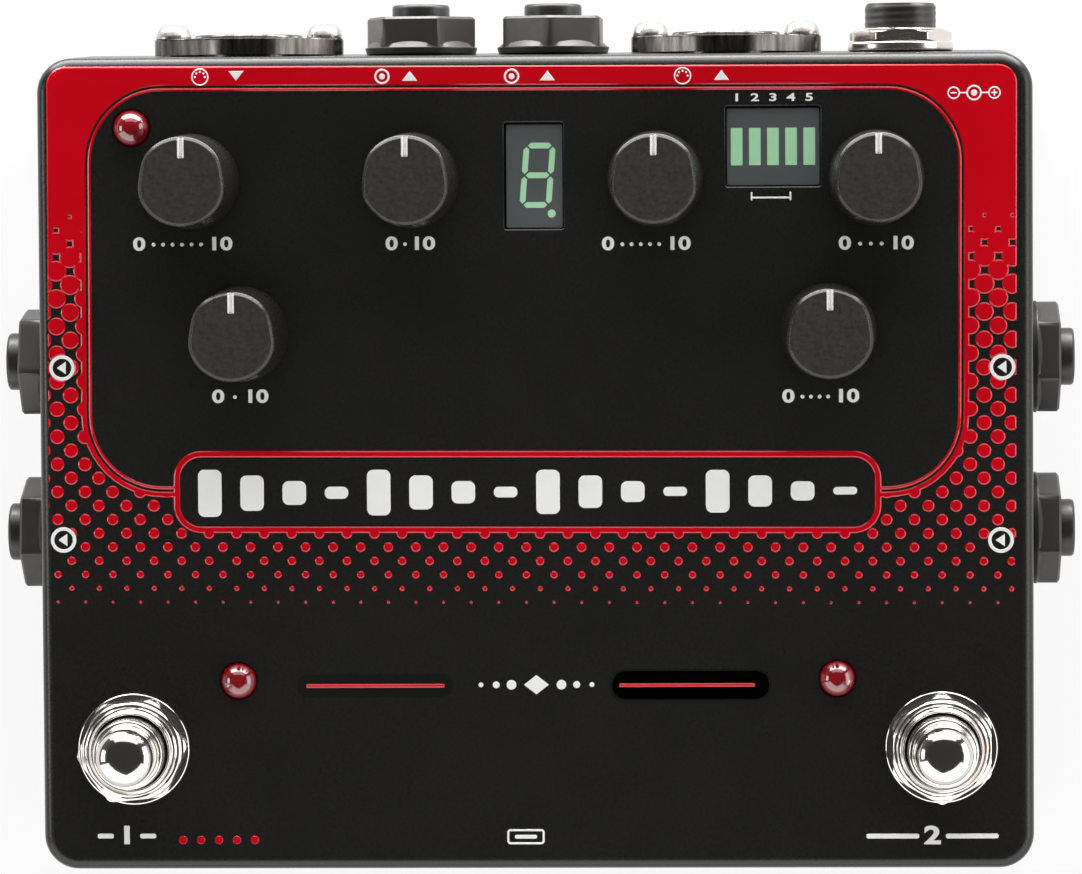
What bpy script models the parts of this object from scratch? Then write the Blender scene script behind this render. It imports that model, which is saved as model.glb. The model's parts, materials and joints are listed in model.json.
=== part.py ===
"""Delay pedal: a cast metal case with knobs, displays, lamps, footswitches, jacks and sockets.

Metres, +Z up, +X to the player's right, +Y to the back. The origin is the middle of the base's underside.
"""

import math

import bmesh
import bpy
from mathutils import Matrix, Vector

# Case: a box open at the bottom, its walls leaning in towards the top
CASE_WIDTH = 0.1453
CASE_DEPTH = 0.1195
CASE_HEIGHT = 0.0393
CASE_DRAFT = 0.00115
CASE_CORNER = 0.0050
CASE_EDGE = 0.0019
WALL = 0.0023
PANEL = 0.0026
POST_INSET = 0.0056
POST_RADIUS = 0.0042
CORNER_STEPS = 5
EDGE_STEPS = 3
POST_STEPS = 7

# Base plate and the screws that hold it
BASE_THICKNESS = 0.0022
BASE_EDGE = 0.0004
BASE_INSET = 0.0002
LIP_HEIGHT = 0.0012
LIP_CORNER = 0.0020
BASE_SCREW_HEAD = 0.0029
BASE_SCREW_HEAD_HEIGHT = 0.0014
BASE_SCREW_RIM = 0.0002
BASE_SCREW_SHANK = 0.0013
BASE_SCREW_LENGTH = 0.0100
BASE_SCREW_SINK = 0.0003
POST_HOLE_SPARE = 0.0015

# Clearances
GAP = 0.0003
RUN_GAP = 0.0003
WINDOW_GAP = 0.0003
CUT_OVERRUN = 0.0020
JOIN_DEPTH = 0.0003

# Controls: a pot or encoder under the panel, its shaft, and the knob on it
KNOB_RADIUS = 0.0069
KNOB_TOP_RADIUS = 0.0062
KNOB_SKIRT = 0.0025
KNOB_SKIRT_RADIUS = 0.0067
KNOB_HEIGHT = 0.0145
KNOB_EDGE = 0.0005
KNOB_FLOAT = 0.0008
KNOB_WALL_TOP = 0.0032
GRIP_DEPTH = 0.00045
GRIP_TURN = math.radians(9)
GRIP_SPREAD = math.radians(21)
POINTER_WIDTH = 0.00095
POINTER_LENGTH = 0.0031
POINTER_DEPTH = 0.0004
SHAFT_RADIUS = 0.0030
SHAFT_FLAT = 0.0016
SHAFT_IN_POT = 0.0035
COLLAR_RADIUS = 0.0040
COLLAR_ABOVE = 0.0012
COLLAR_CLEAR = 0.0008
POT_WIDTH = 0.0098
POT_DEPTH = 0.0112
POT_HEIGHT = 0.0065
KNOB_SEGMENTS = 24
SHAFT_SEGMENTS = 16
POT_SEGMENTS = 12

# Displays: each fills a window in the panel
DIGIT_WIDTH = 0.0083
DIGIT_DEPTH = 0.0151
BANK_WIDTH = 0.0134
BANK_DEPTH = 0.0113
DISPLAY_SINK = 0.0004
DISPLAY_BEVEL = 0.0002

# Lamps
LAMP_RADIUS = 0.0026
LAMP_FLANGE = 0.0029
LAMP_FLANGE_HEIGHT = 0.0010
LAMP_HEIGHT = 0.0086
LAMP_ABOVE = 0.0022
LAMP_LEG = 0.0005
LAMP_LEG_PITCH = 0.00254
LAMP_SEGMENTS = 16
DOME_STEPS = 3

# Footswitches
SWITCH_CAN_RADIUS = 0.0079
SWITCH_CAN_HEIGHT = 0.0130
SWITCH_BUSHING = 0.0061
SWITCH_BUSHING_ABOVE = 0.0056
SWITCH_BORE = 0.0054
SWITCH_BORE_FLOOR = 0.0020
SWITCH_WASHER_RADIUS = 0.0081
SWITCH_WASHER_THICK = 0.0009
SWITCH_NUT_FLATS = 0.0140
SWITCH_NUT_HEIGHT = 0.0032
SWITCH_NUT_CHAMFER = 0.0005
SHOULDER_RADIUS = 0.0051
SHOULDER_ABOVE = 0.0094
SHOULDER_EDGE = 0.0004
CAP_RADIUS = 0.0042
CAP_TAPER = 0.0001
CAP_ABOVE = 0.0153
CAP_DOME = 0.0024
PLUNGER_IN_CAN = 0.0050
SWITCH_SEGMENTS = 24
CAP_STEPS = 4

# Quarter-inch jacks
JACK_WIDTH = 0.0160
JACK_HEIGHT = 0.0150
JACK_LENGTH = 0.0240
JACK_BUSHING = 0.0042
JACK_BUSHING_OUT = 0.0096
JACK_BORE = 0.00325
JACK_BORE_DEPTH = 0.0300
JACK_NUT_FLATS = 0.0140
JACK_NUT_FLANGE = 0.0083
JACK_NUT_FLANGE_HEIGHT = 0.0012
JACK_NUT_HEIGHT = 0.0045
JACK_NUT_CHAMFER = 0.0004
JACK_SEGMENTS = 20
NUT_SEGMENTS = 12

# Round five-pin data sockets
DATA_BARREL = 0.0075
DATA_DEPTH = 0.0120
DATA_RING_OUTER = 0.0069
DATA_CORE = 0.0060
DATA_RING_DEPTH = 0.0080
DATA_PIN_CIRCLE = 0.0046
DATA_PIN_HOLE = 0.0008
DATA_PIN_DEPTH = 0.0070
DATA_PINS = 5
DATA_FLANGE_RADIUS = 0.0093
DATA_FLANGE_THICK = 0.0019
DATA_EAR_RADIUS = 0.0028
DATA_SCREW_PITCH = 0.0222
DATA_SCREW_SHANK = 0.0013
DATA_SCREW_HEAD = 0.0026
DATA_SCREW_HEAD_HEIGHT = 0.0019
DATA_SCREW_INSIDE = 0.0030
PAN_HEAD_SHARES = ((1.0, 0.4), (0.8, 0.85), (0.4, 1.0))
DATA_SEGMENTS = 24
PIN_SEGMENTS = 8
SCREW_SEGMENTS = 12

# Recess in the screw heads
RECESS_WIDTH = 0.0007
RECESS_LENGTH = 0.0030
RECESS_DEPTH = 0.0009

# DC inlet
INLET_THREAD = 0.0052
INLET_OUT = 0.0098
INLET_BORE = 0.0032
INLET_BORE_DEPTH = 0.0095
INLET_PIN = 0.00105
INLET_PIN_BACK = 0.0015
INLET_BODY = 0.0070
INLET_LENGTH = 0.0120
INLET_NUT_FLATS = 0.0131
INLET_NUT_HEIGHT = 0.0018
INLET_WASHER_RADIUS = 0.0077
INLET_WASHER_THICK = 0.0012
INLET_SEGMENTS = 20

# USB socket in the front wall
USB_WIDTH = 0.0077
USB_HEIGHT = 0.0039
USB_LENGTH = 0.0092
USB_CORNER = 0.0010
USB_SHELL = 0.0004
USB_MOUTH_DEPTH = 0.0060
USB_TONGUE_WIDTH = 0.0044
USB_TONGUE_HEIGHT = 0.0010
USB_TONGUE_CORNER = 0.0002
USB_CORNER_STEPS = 2
USB_MOUTH_BACK = 0.0006

# Circuit board, with the chips on its underside
BOARD_THICKNESS = 0.0016
BOARD_REAR_INSET = 0.0055
BOARD_SIDE_INSET = 0.0115
BOARD_FRONT_INSET = 0.0045
BOARD_SWITCH_CLEAR = 0.0008
CHIP_SIZE = 0.0120
CHIP_HEIGHT = 0.0016
SMALL_CHIP_SIZE = 0.0060

# Places on the top, as shares of half the case's width and depth
KNOB_ROW_SHARE = 0.683
KNOB_FRONT_ROW_SHARE = 0.316
KNOB_PLACE_SHARES = {
    "rear_left": (-0.676, KNOB_ROW_SHARE),
    "rear_inner": (-0.241, KNOB_ROW_SHARE),
    "selector": (0.241, KNOB_ROW_SHARE),
    "rear_right": (0.676, KNOB_ROW_SHARE),
    "front_left": (-0.581, KNOB_FRONT_ROW_SHARE),
    "front_right": (0.581, KNOB_FRONT_ROW_SHARE),
}
DIGIT_PLACE_SHARES = (0.001, 0.692)
BANK_PLACE_SHARES = (0.473, 0.759)
LAMP_PLACE_SHARES = {
    "rear": (-0.796, 0.813),
    "left": (-0.592, -0.523),
    "right": (0.596, -0.521),
}
SWITCH_PLACE_SHARES = {
    "left": (-0.801, -0.686),
    "right": (0.801, -0.686),
}

# Places along the walls, as shares of half the case's width or depth
SIDE_JACK_SHARES = {"rear": 0.241, "front": -0.180}
BACK_JACK_SHARES = {"left": -0.235, "right": 0.032}
DATA_SOCKET_SHARES = {"left": -0.584, "right": 0.381}
INLET_SHARE = 0.732
USB_SHARE = 0.0
CHIP_PLACE_SHARES = (-0.10, -0.22)
SMALL_CHIP_PLACE_SHARES = ((0.22, -0.30), (-0.40, -0.45))

# How far each hex nut is turned from having a flat on top
JACK_NUT_TURNS = {
    "left_rear": math.radians(4),
    "left_front": math.radians(-7),
    "right_rear": math.radians(11),
    "right_front": math.radians(-3),
    "back_left": math.radians(8),
    "back_right": math.radians(14),
}
SWITCH_NUT_TURNS = {"left": math.radians(6), "right": math.radians(30)}

SHARP_ANGLE = math.radians(35)

# Heights that follow from the stack under the panel
SEAM_TOP = BASE_THICKNESS + GAP
PANEL_UNDER = CASE_HEIGHT - PANEL
POT_TOP = PANEL_UNDER - GAP
BOARD_TOP = POT_TOP - POT_HEIGHT - GAP
BOARD_UNDER = BOARD_TOP - BOARD_THICKNESS
CONNECTOR_TOP = BOARD_UNDER - GAP
JACK_LEVEL = CONNECTOR_TOP - JACK_HEIGHT / 2
DATA_LEVEL = CONNECTOR_TOP - DATA_BARREL
INLET_LEVEL = CONNECTOR_TOP - INLET_BODY
USB_LEVEL = CONNECTOR_TOP - USB_HEIGHT / 2
HALF_WIDTH = CASE_WIDTH / 2
HALF_DEPTH = CASE_DEPTH / 2


def clear_scene():
    for old in list(bpy.data.objects):
        bpy.data.objects.remove(old, do_unlink=True)


def look(name, colour, roughness, metallic=0.0):
    made = bpy.data.materials.new(name)
    made.use_nodes = True
    shader = made.node_tree.nodes["Principled BSDF"]
    shader.inputs["Base Color"].default_value = (*colour, 1.0)
    shader.inputs["Roughness"].default_value = roughness
    shader.inputs["Metallic"].default_value = metallic
    made.diffuse_color = (*colour, 1.0)
    return made


# Outlines are lists of (x, y), counter-clockwise, that start at the lower right corner

def circle(radius, count, turn=0.0):
    start = turn - math.pi / 4
    angles = [start + 2 * math.pi * step / count for step in range(count)]
    return [(radius * math.cos(a), radius * math.sin(a)) for a in angles]


def flatted_circle(radius, flat, count):
    return [(x, min(y, flat)) for x, y in circle(radius, count)]


def block_outline(half_x, half_y, count):
    corners = [(half_x, -half_y), (half_x, half_y), (-half_x, half_y), (-half_x, -half_y)]
    return divided(corners, count // len(corners))


def hexagon(across_flats, count, turn=0.0):
    reach = across_flats / 2 / math.cos(math.pi / 6)
    start = turn - math.pi / 3
    angles = [start + math.pi / 3 * step for step in range(6)]
    corners = [(reach * math.cos(a), reach * math.sin(a)) for a in angles]
    return divided(corners, count // len(corners))


def divided(corners, pieces):
    points = []
    for (ax, ay), (bx, by) in zip(corners, corners[1:] + corners[:1]):
        for step in range(pieces):
            along = step / pieces
            points.append((ax + (bx - ax) * along, ay + (by - ay) * along))
    return points


def arc(centre, radius, start, end, steps):
    angles = [start + (end - start) * step / steps for step in range(steps + 1)]
    return [(centre[0] + radius * math.cos(a), centre[1] + radius * math.sin(a)) for a in angles]


def rounded_block(half_x, half_y, radius, steps=CORNER_STEPS):
    points = []
    for quarter, (sx, sy) in enumerate(((1, -1), (1, 1), (-1, 1), (-1, -1))):
        centre = (sx * (half_x - radius), sy * (half_y - radius))
        start = math.pi / 2 * (quarter - 1)
        points += arc(centre, radius, start, start + math.pi / 2, steps)
    return points


# Mesh builders

def level(outline, z):
    return [(x, y, z) for x, y in outline]


def loft(rings, closed=False):
    """A solid through rings of equal count. Its ends are capped, or joined to each other when closed."""
    bm = bmesh.new()
    loops = [[bm.verts.new(point) for point in ring] for ring in rings]
    pairs = list(zip(loops, loops[1:]))
    if closed:
        pairs.append((loops[-1], loops[0]))
    else:
        bm.faces.new(loops[0])
        bm.faces.new(loops[-1])
    for lower, upper in pairs:
        for a in range(len(lower)):
            b = (a + 1) % len(lower)
            bm.faces.new((lower[a], lower[b], upper[b], upper[a]))
    bmesh.ops.recalc_face_normals(bm, faces=bm.faces)
    return bm


def turned(profile, count):
    """A solid of revolution about Z, from (radius, z) points that start and end on the axis."""
    rings = [level(circle(radius, count), z) for radius, z in profile if radius > 0]
    return loft(rings)


def prism(outline, bottom, top):
    return loft([level(outline, bottom), level(outline, top)])


def gather(parts):
    """One mesh from several separate solids, each given with the matrix that places it."""
    whole = bmesh.new()
    for bm, place in parts:
        bmesh.ops.transform(bm, matrix=place, verts=bm.verts)
        part = bpy.data.meshes.new("part")
        bm.to_mesh(part)
        bm.free()
        whole.from_mesh(part)
        bpy.data.meshes.remove(part)
    return whole


def add(name, bm, surface, place=None, parent=None):
    mesh = bpy.data.meshes.new(name)
    bm.to_mesh(mesh)
    bm.free()
    if surface:
        mesh.materials.append(surface)
    mesh.shade_smooth()
    mesh.set_sharp_from_angle(angle=SHARP_ANGLE)
    made = bpy.data.objects.new(name, mesh)
    bpy.context.scene.collection.objects.link(made)
    made.parent = parent
    if place is not None:
        made.location = place.to_translation()
        made.rotation_euler = place.to_euler()
    return made


def shape_with(target, operation, bm, place=None, parent=None):
    """Cuts the target with a hidden solid, or joins that solid to it."""
    tool = add(target.name + "_" + operation.lower(), bm, None, place, parent)
    tool.hide_render = True
    tool.display_type = "WIRE"
    boolean = target.modifiers.new(operation.lower(), "BOOLEAN")
    boolean.operation = operation
    boolean.solver = "EXACT"
    boolean.object = tool
    return tool


def at(x, y, z):
    return Matrix.Translation((x, y, z))


def facing(outward, origin):
    """A frame whose Z points outward from a wall and whose Y points up."""
    out = Vector(outward)
    up = Vector((0, 0, 1))
    side = up.cross(out)
    turn = Matrix((side, up, out)).transposed().to_4x4()
    return Matrix.Translation(origin) @ turn


# Where the leaning walls are

def wall_outside(half_base, z):
    """From the middle plane to a wall's outer face at height z."""
    return half_base - CASE_DRAFT * (z - SEAM_TOP) / (CASE_HEIGHT - SEAM_TOP)


def outer_seat(half_base, z, half_height):
    return wall_outside(half_base, z - half_height) + GAP


def inner_seat(half_base, z, half_height):
    return wall_outside(half_base, z + half_height) - WALL - GAP


def top_place(shares):
    return shares[0] * HALF_WIDTH, shares[1] * HALF_DEPTH


def wall_spots():
    """The jacks' places: name, outward direction, the wall's half size, and the distance along it."""
    spots = []
    for side, direction in (("left", -1), ("right", 1)):
        for name, share in SIDE_JACK_SHARES.items():
            spots.append((side + "_" + name, (direction, 0, 0), HALF_WIDTH, share * HALF_DEPTH))
    for name, share in BACK_JACK_SHARES.items():
        spots.append(("back_" + name, (0, 1, 0), HALF_DEPTH, share * HALF_WIDTH))
    return spots


def wall_frame(outward, distance, along, z):
    if outward[0]:
        return facing(outward, (outward[0] * distance, along, z))
    return facing(outward, (along, outward[1] * distance, z))


def data_frame(share, distance):
    return facing((0, 1, 0), (share * HALF_WIDTH, distance, DATA_LEVEL))


def inlet_frame(distance):
    return facing((0, 1, 0), (INLET_SHARE * HALF_WIDTH, distance, INLET_LEVEL))


def usb_frame(distance):
    return facing((0, -1, 0), (USB_SHARE * HALF_WIDTH, -distance, USB_LEVEL))


def post_places():
    x = HALF_WIDTH - POST_INSET
    y = HALF_DEPTH - POST_INSET
    return {"rear_left": (-x, y), "rear_right": (x, y), "front_left": (-x, -y), "front_right": (x, -y)}


# Case and base

def case_ring(inset, z, draft_at):
    half_x = wall_outside(HALF_WIDTH, draft_at) - inset
    half_y = wall_outside(HALF_DEPTH, draft_at) - inset
    return level(rounded_block(half_x, half_y, CASE_CORNER - inset), z)


def cavity_ring(z):
    """The cavity's outline, with a screw post standing in each corner."""
    half_x = wall_outside(HALF_WIDTH, z) - WALL
    half_y = wall_outside(HALF_DEPTH, z) - WALL
    post_x = HALF_WIDTH - POST_INSET
    post_y = HALF_DEPTH - POST_INSET
    meet_x = math.acos((half_x - post_x) / POST_RADIUS)
    meet_y = math.asin((half_y - post_y) / POST_RADIUS)
    quarter = arc((post_x, post_y), POST_RADIUS, -meet_x, -meet_y - math.pi, POST_STEPS)
    mirrored = [(-x, y) for x, y in reversed(quarter)]
    rear = quarter + mirrored
    front = [(-x, -y) for x, y in rear]
    return level(rear + front, z)


def case_solid():
    """Outside from the seam to the top, then a cavity cut from below."""
    rings = [case_ring(0, SEAM_TOP, SEAM_TOP)]
    edge_start = CASE_HEIGHT - CASE_EDGE
    for step in range(EDGE_STEPS + 1):
        angle = math.pi / 2 * step / EDGE_STEPS
        inset = CASE_EDGE * (1 - math.cos(angle))
        rings.append(case_ring(inset, edge_start + CASE_EDGE * math.sin(angle), edge_start))
    return loft(rings)


def cavity_solid():
    start = SEAM_TOP - CUT_OVERRUN
    return loft([cavity_ring(start), cavity_ring(PANEL_UNDER)])


def case_holes():
    """Every hole through the panel and the walls, and those in the screw posts."""
    through = (PANEL_UNDER - CUT_OVERRUN, CASE_HEIGHT + CUT_OVERRUN)
    holes = []
    for shares in KNOB_PLACE_SHARES.values():
        hole = prism(circle(COLLAR_RADIUS + GAP, POT_SEGMENTS), *through)
        holes.append((hole, at(*top_place(shares), 0)))
    for shares in LAMP_PLACE_SHARES.values():
        hole = prism(circle(LAMP_RADIUS + GAP, LAMP_SEGMENTS), *through)
        holes.append((hole, at(*top_place(shares), 0)))
    for shares in SWITCH_PLACE_SHARES.values():
        hole = prism(circle(SWITCH_BUSHING + GAP, SWITCH_SEGMENTS), *through)
        holes.append((hole, at(*top_place(shares), 0)))
    for width, depth, shares in (
        (DIGIT_WIDTH, DIGIT_DEPTH, DIGIT_PLACE_SHARES),
        (BANK_WIDTH, BANK_DEPTH, BANK_PLACE_SHARES),
    ):
        window = block_outline(width / 2 + WINDOW_GAP, depth / 2 + WINDOW_GAP, 4)
        holes.append((prism(window, *through), at(*top_place(shares), 0)))
    reach = (-WALL - CUT_OVERRUN, CASE_DRAFT + CUT_OVERRUN)
    for name, outward, half, along in wall_spots():
        hole = prism(circle(JACK_BUSHING + GAP, JACK_SEGMENTS), *reach)
        holes.append((hole, wall_frame(outward, wall_outside(half, JACK_LEVEL), along, JACK_LEVEL)))
    for share in DATA_SOCKET_SHARES.values():
        place = data_frame(share, wall_outside(HALF_DEPTH, DATA_LEVEL))
        holes.append((prism(circle(DATA_BARREL + GAP, DATA_SEGMENTS), *reach), place))
        for side in (-1, 1):
            ear = Matrix.Translation((side * DATA_SCREW_PITCH / 2, 0, 0))
            hole = prism(circle(DATA_SCREW_SHANK + GAP, SCREW_SEGMENTS), *reach)
            holes.append((hole, place @ ear))
    inlet = inlet_frame(wall_outside(HALF_DEPTH, INLET_LEVEL))
    holes.append((prism(circle(INLET_THREAD + GAP, INLET_SEGMENTS), *reach), inlet))
    slot = rounded_block(USB_WIDTH / 2 + GAP, USB_HEIGHT / 2 + GAP, USB_CORNER + GAP, USB_CORNER_STEPS)
    holes.append((prism(slot, *reach), usb_frame(wall_outside(HALF_DEPTH, USB_LEVEL))))
    for x, y in post_places().values():
        depth = BASE_SCREW_SINK + BASE_SCREW_LENGTH + POST_HOLE_SPARE
        hole = prism(circle(BASE_SCREW_SHANK + GAP, SCREW_SEGMENTS), SEAM_TOP - CUT_OVERRUN, depth)
        holes.append((hole, at(x, y, 0)))
    return gather(holes)


def make_case(paint):
    case = add("enclosure", case_solid(), paint)
    cavity = shape_with(case, "DIFFERENCE", cavity_solid())
    cavity.name = "enclosure_cavity"
    holes = shape_with(case, "DIFFERENCE", case_holes())
    holes.name = "enclosure_holes"


def screw_head_profile(clearance):
    """Countersunk head from below: rim, cone and shank, with room around it when it cuts its seat."""
    head = BASE_SCREW_HEAD + clearance
    shank = BASE_SCREW_SHANK + clearance
    return [
        (head, BASE_SCREW_SINK + BASE_SCREW_RIM + clearance),
        (shank, BASE_SCREW_SINK + BASE_SCREW_HEAD_HEIGHT + clearance),
    ]


def make_base(metal):
    half_x = HALF_WIDTH - BASE_INSET
    half_y = HALF_DEPTH - BASE_INSET
    edge = rounded_block(half_x - BASE_EDGE, half_y - BASE_EDGE, CASE_CORNER - BASE_EDGE)
    side = rounded_block(half_x, half_y, CASE_CORNER)
    lip = rounded_block(
        HALF_WIDTH - POST_INSET - POST_RADIUS - GAP,
        wall_outside(HALF_DEPTH, BASE_THICKNESS + LIP_HEIGHT) - WALL - GAP,
        LIP_CORNER,
    )
    base = add("base_plate", loft([
        level(edge, 0),
        level(side, BASE_EDGE),
        level(side, BASE_THICKNESS),
        level(lip, BASE_THICKNESS),
        level(lip, BASE_THICKNESS + LIP_HEIGHT),
    ]), metal)
    seats = []
    for x, y in post_places().values():
        head, shank = screw_head_profile(GAP)
        seat = [
            (head[0], -CUT_OVERRUN),
            head,
            shank,
            (shank[0], BASE_THICKNESS + CUT_OVERRUN),
        ]
        seats.append((turned(seat, SCREW_SEGMENTS), at(x, y, 0)))
    shape_with(base, "DIFFERENCE", gather(seats))


def cross_recess(depth):
    """A plus-shaped cutter whose mouth is at z = 0 and which goes down by depth."""
    arm = RECESS_WIDTH / 2
    end = RECESS_LENGTH / 2
    outline = [
        (end, -arm), (end, arm), (arm, arm), (arm, end), (-arm, end), (-arm, arm),
        (-end, arm), (-end, -arm), (-arm, -arm), (-arm, -end), (arm, -end), (arm, -arm),
    ]
    return prism(outline, -depth, CUT_OVERRUN)


def make_base_screws(metal):
    head, shank = screw_head_profile(0)
    profile = [
        (head[0], BASE_SCREW_SINK),
        head,
        shank,
        (shank[0], BASE_SCREW_SINK + BASE_SCREW_LENGTH),
    ]
    for name, (x, y) in post_places().items():
        screw = add("base_screw_" + name, turned(profile, SCREW_SEGMENTS), metal, at(x, y, 0))
        under = at(x, y, BASE_SCREW_SINK) @ Matrix.Rotation(math.pi, 4, "X")
        shape_with(screw, "DIFFERENCE", cross_recess(RECESS_DEPTH), under)


# Controls

def knob_outline(radius, grip_depth):
    """A round outline, hollowed on either side for the fingers."""
    points = []
    for x, y in circle(radius, KNOB_SEGMENTS):
        angle = math.atan2(y, x)
        dip = 0.0
        for grip in (GRIP_TURN, math.pi - GRIP_TURN):
            away = math.remainder(angle - grip, 2 * math.pi)
            dip += grip_depth * math.exp(-((away / GRIP_SPREAD) ** 2))
        share = 1 - dip / radius
        points.append((x * share, y * share))
    return points


def knob_solid():
    """Round skirt and gripped top, a wide mouth below for the collar, and a flatted bore for the shaft."""
    bore = flatted_circle(SHAFT_RADIUS + GAP, SHAFT_FLAT + GAP, KNOB_SEGMENTS)
    mouth = circle(COLLAR_RADIUS + COLLAR_CLEAR, KNOB_SEGMENTS)
    bottom = KNOB_FLOAT
    top = KNOB_FLOAT + KNOB_HEIGHT
    mouth_top = COLLAR_ABOVE + COLLAR_CLEAR
    return loft([
        level(bore, top - KNOB_WALL_TOP),
        level(bore, mouth_top),
        level(mouth, mouth_top),
        level(mouth, bottom),
        level(knob_outline(KNOB_RADIUS, 0), bottom),
        level(knob_outline(KNOB_SKIRT_RADIUS, 0), bottom + KNOB_SKIRT),
        level(knob_outline(KNOB_TOP_RADIUS, GRIP_DEPTH), top - KNOB_EDGE),
        level(knob_outline(KNOB_TOP_RADIUS - KNOB_EDGE, GRIP_DEPTH), top),
    ])


def pointer_slot():
    """Cuts the pointer's groove from the rim inwards, at twelve o'clock."""
    reach = KNOB_RADIUS + CUT_OVERRUN
    length = POINTER_LENGTH + reach - KNOB_TOP_RADIUS
    outline = block_outline(POINTER_WIDTH / 2, length / 2, 4)
    top = KNOB_FLOAT + KNOB_HEIGHT
    slot = prism(outline, top - POINTER_DEPTH, top + CUT_OVERRUN)
    bmesh.ops.translate(slot, vec=(0, reach - length / 2, 0), verts=slot.verts)
    return slot


def shaft_solid():
    full = circle(SHAFT_RADIUS, SHAFT_SEGMENTS)
    flat = flatted_circle(SHAFT_RADIUS, SHAFT_FLAT, SHAFT_SEGMENTS)
    bottom = -PANEL - GAP - SHAFT_IN_POT
    flat_from = COLLAR_ABOVE + GAP
    top = KNOB_FLOAT + KNOB_HEIGHT - KNOB_WALL_TOP - GAP
    return loft([level(full, bottom), level(full, flat_from), level(flat, flat_from), level(flat, top)])


def pot_solid():
    """Square housing under the panel with a round collar through it, bored for the shaft."""
    housing = block_outline(POT_WIDTH / 2, POT_DEPTH / 2, POT_SEGMENTS)
    collar = circle(COLLAR_RADIUS, POT_SEGMENTS)
    bore = circle(SHAFT_RADIUS + RUN_GAP, POT_SEGMENTS)
    top = -PANEL - GAP
    return loft([
        level(housing, top - POT_HEIGHT),
        level(housing, top),
        level(collar, top),
        level(collar, COLLAR_ABOVE),
        level(bore, COLLAR_ABOVE),
        level(bore, top - SHAFT_IN_POT - RUN_GAP),
    ])


def make_controls(plastic, steel, pot_plastic):
    for name, shares in KNOB_PLACE_SHARES.items():
        axis = bpy.data.objects.new("axis_" + name, None)
        bpy.context.scene.collection.objects.link(axis)
        axis.location = (*top_place(shares), CASE_HEIGHT)
        knob = add("knob_" + name, knob_solid(), plastic, parent=axis)
        shape_with(knob, "DIFFERENCE", pointer_slot(), parent=axis)
        add("shaft_" + name, shaft_solid(), steel, parent=axis)
        kind = "encoder_" if name == "selector" else "pot_"
        add(kind + name, pot_solid(), pot_plastic, at(*axis.location))


# Displays and lamps

def make_display(name, width, depth, shares, plastic):
    """A block that stands on the board and fills its window."""
    top = CASE_HEIGHT - DISPLAY_SINK
    side = block_outline(width / 2, depth / 2, 4)
    face = block_outline(width / 2 - DISPLAY_BEVEL, depth / 2 - DISPLAY_BEVEL, 4)
    block = loft([level(side, BOARD_TOP + GAP), level(side, top - DISPLAY_BEVEL), level(face, top)])
    add(name, block, plastic, at(*top_place(shares), 0))


def lamp_solid():
    top = CASE_HEIGHT + LAMP_ABOVE
    bottom = top - LAMP_HEIGHT
    profile = [
        (LAMP_FLANGE, bottom),
        (LAMP_FLANGE, bottom + LAMP_FLANGE_HEIGHT),
        (LAMP_RADIUS, bottom + LAMP_FLANGE_HEIGHT),
    ]
    for step in range(DOME_STEPS + 1):
        angle = math.pi / 2 * step / (DOME_STEPS + 1)
        height = top - LAMP_RADIUS + LAMP_RADIUS * math.sin(angle)
        profile.append((LAMP_RADIUS * math.cos(angle), height))
    return turned(profile, LAMP_SEGMENTS)


def lamp_legs():
    bottom = CASE_HEIGHT + LAMP_ABOVE - LAMP_HEIGHT
    outline = block_outline(LAMP_LEG / 2, LAMP_LEG / 2, 4)
    return gather([
        (prism(outline, BOARD_TOP + GAP, bottom + JOIN_DEPTH), at(side * LAMP_LEG_PITCH / 2, 0, 0))
        for side in (-1, 1)
    ])


def make_lamps(lens):
    for name, shares in LAMP_PLACE_SHARES.items():
        place = at(*top_place(shares), 0)
        lamp = add("lamp_" + name, lamp_solid(), lens, place)
        shape_with(lamp, "UNION", lamp_legs(), place)


# Footswitches

def switch_body_solid():
    can_top = -PANEL - GAP
    can_bottom = can_top - SWITCH_CAN_HEIGHT
    return turned([
        (SWITCH_CAN_RADIUS, can_bottom),
        (SWITCH_CAN_RADIUS, can_top),
        (SWITCH_BUSHING, can_top),
        (SWITCH_BUSHING, SWITCH_BUSHING_ABOVE),
        (SWITCH_BORE, SWITCH_BUSHING_ABOVE),
        (SWITCH_BORE, can_bottom + SWITCH_BORE_FLOOR),
    ], SWITCH_SEGMENTS)


def plunger_solid():
    """Shoulder that slides in the bushing, and the domed cap on it."""
    profile = [
        (SHOULDER_RADIUS, -PANEL - PLUNGER_IN_CAN),
        (SHOULDER_RADIUS, SHOULDER_ABOVE - SHOULDER_EDGE),
        (SHOULDER_RADIUS - SHOULDER_EDGE, SHOULDER_ABOVE),
        (CAP_RADIUS, SHOULDER_ABOVE),
    ]
    rim = CAP_RADIUS - CAP_TAPER
    for step in range(CAP_STEPS):
        angle = math.pi / 2 * step / CAP_STEPS
        profile.append((rim * math.cos(angle), CAP_ABOVE - CAP_DOME * (1 - math.sin(angle))))
    return turned(profile, SWITCH_SEGMENTS)


def tube(inner, outer, bottom, top):
    outside = [level(outer, bottom), level(outer, top)]
    inside = [level(inner, top), level(inner, bottom)]
    return loft(outside + inside, closed=True)


def hex_nut(flats, bore, bottom, height, chamfer, count, turn):
    sides = hexagon(flats, count, turn)
    crown = circle(flats / 2 - chamfer / 2, count, turn - math.pi / 12)
    hole = circle(bore, count, turn - math.pi / 12)
    top = bottom + height
    return loft([
        level(sides, bottom),
        level(sides, top - chamfer),
        level(crown, top),
        level(hole, top),
        level(hole, bottom),
    ], closed=True)


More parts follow.
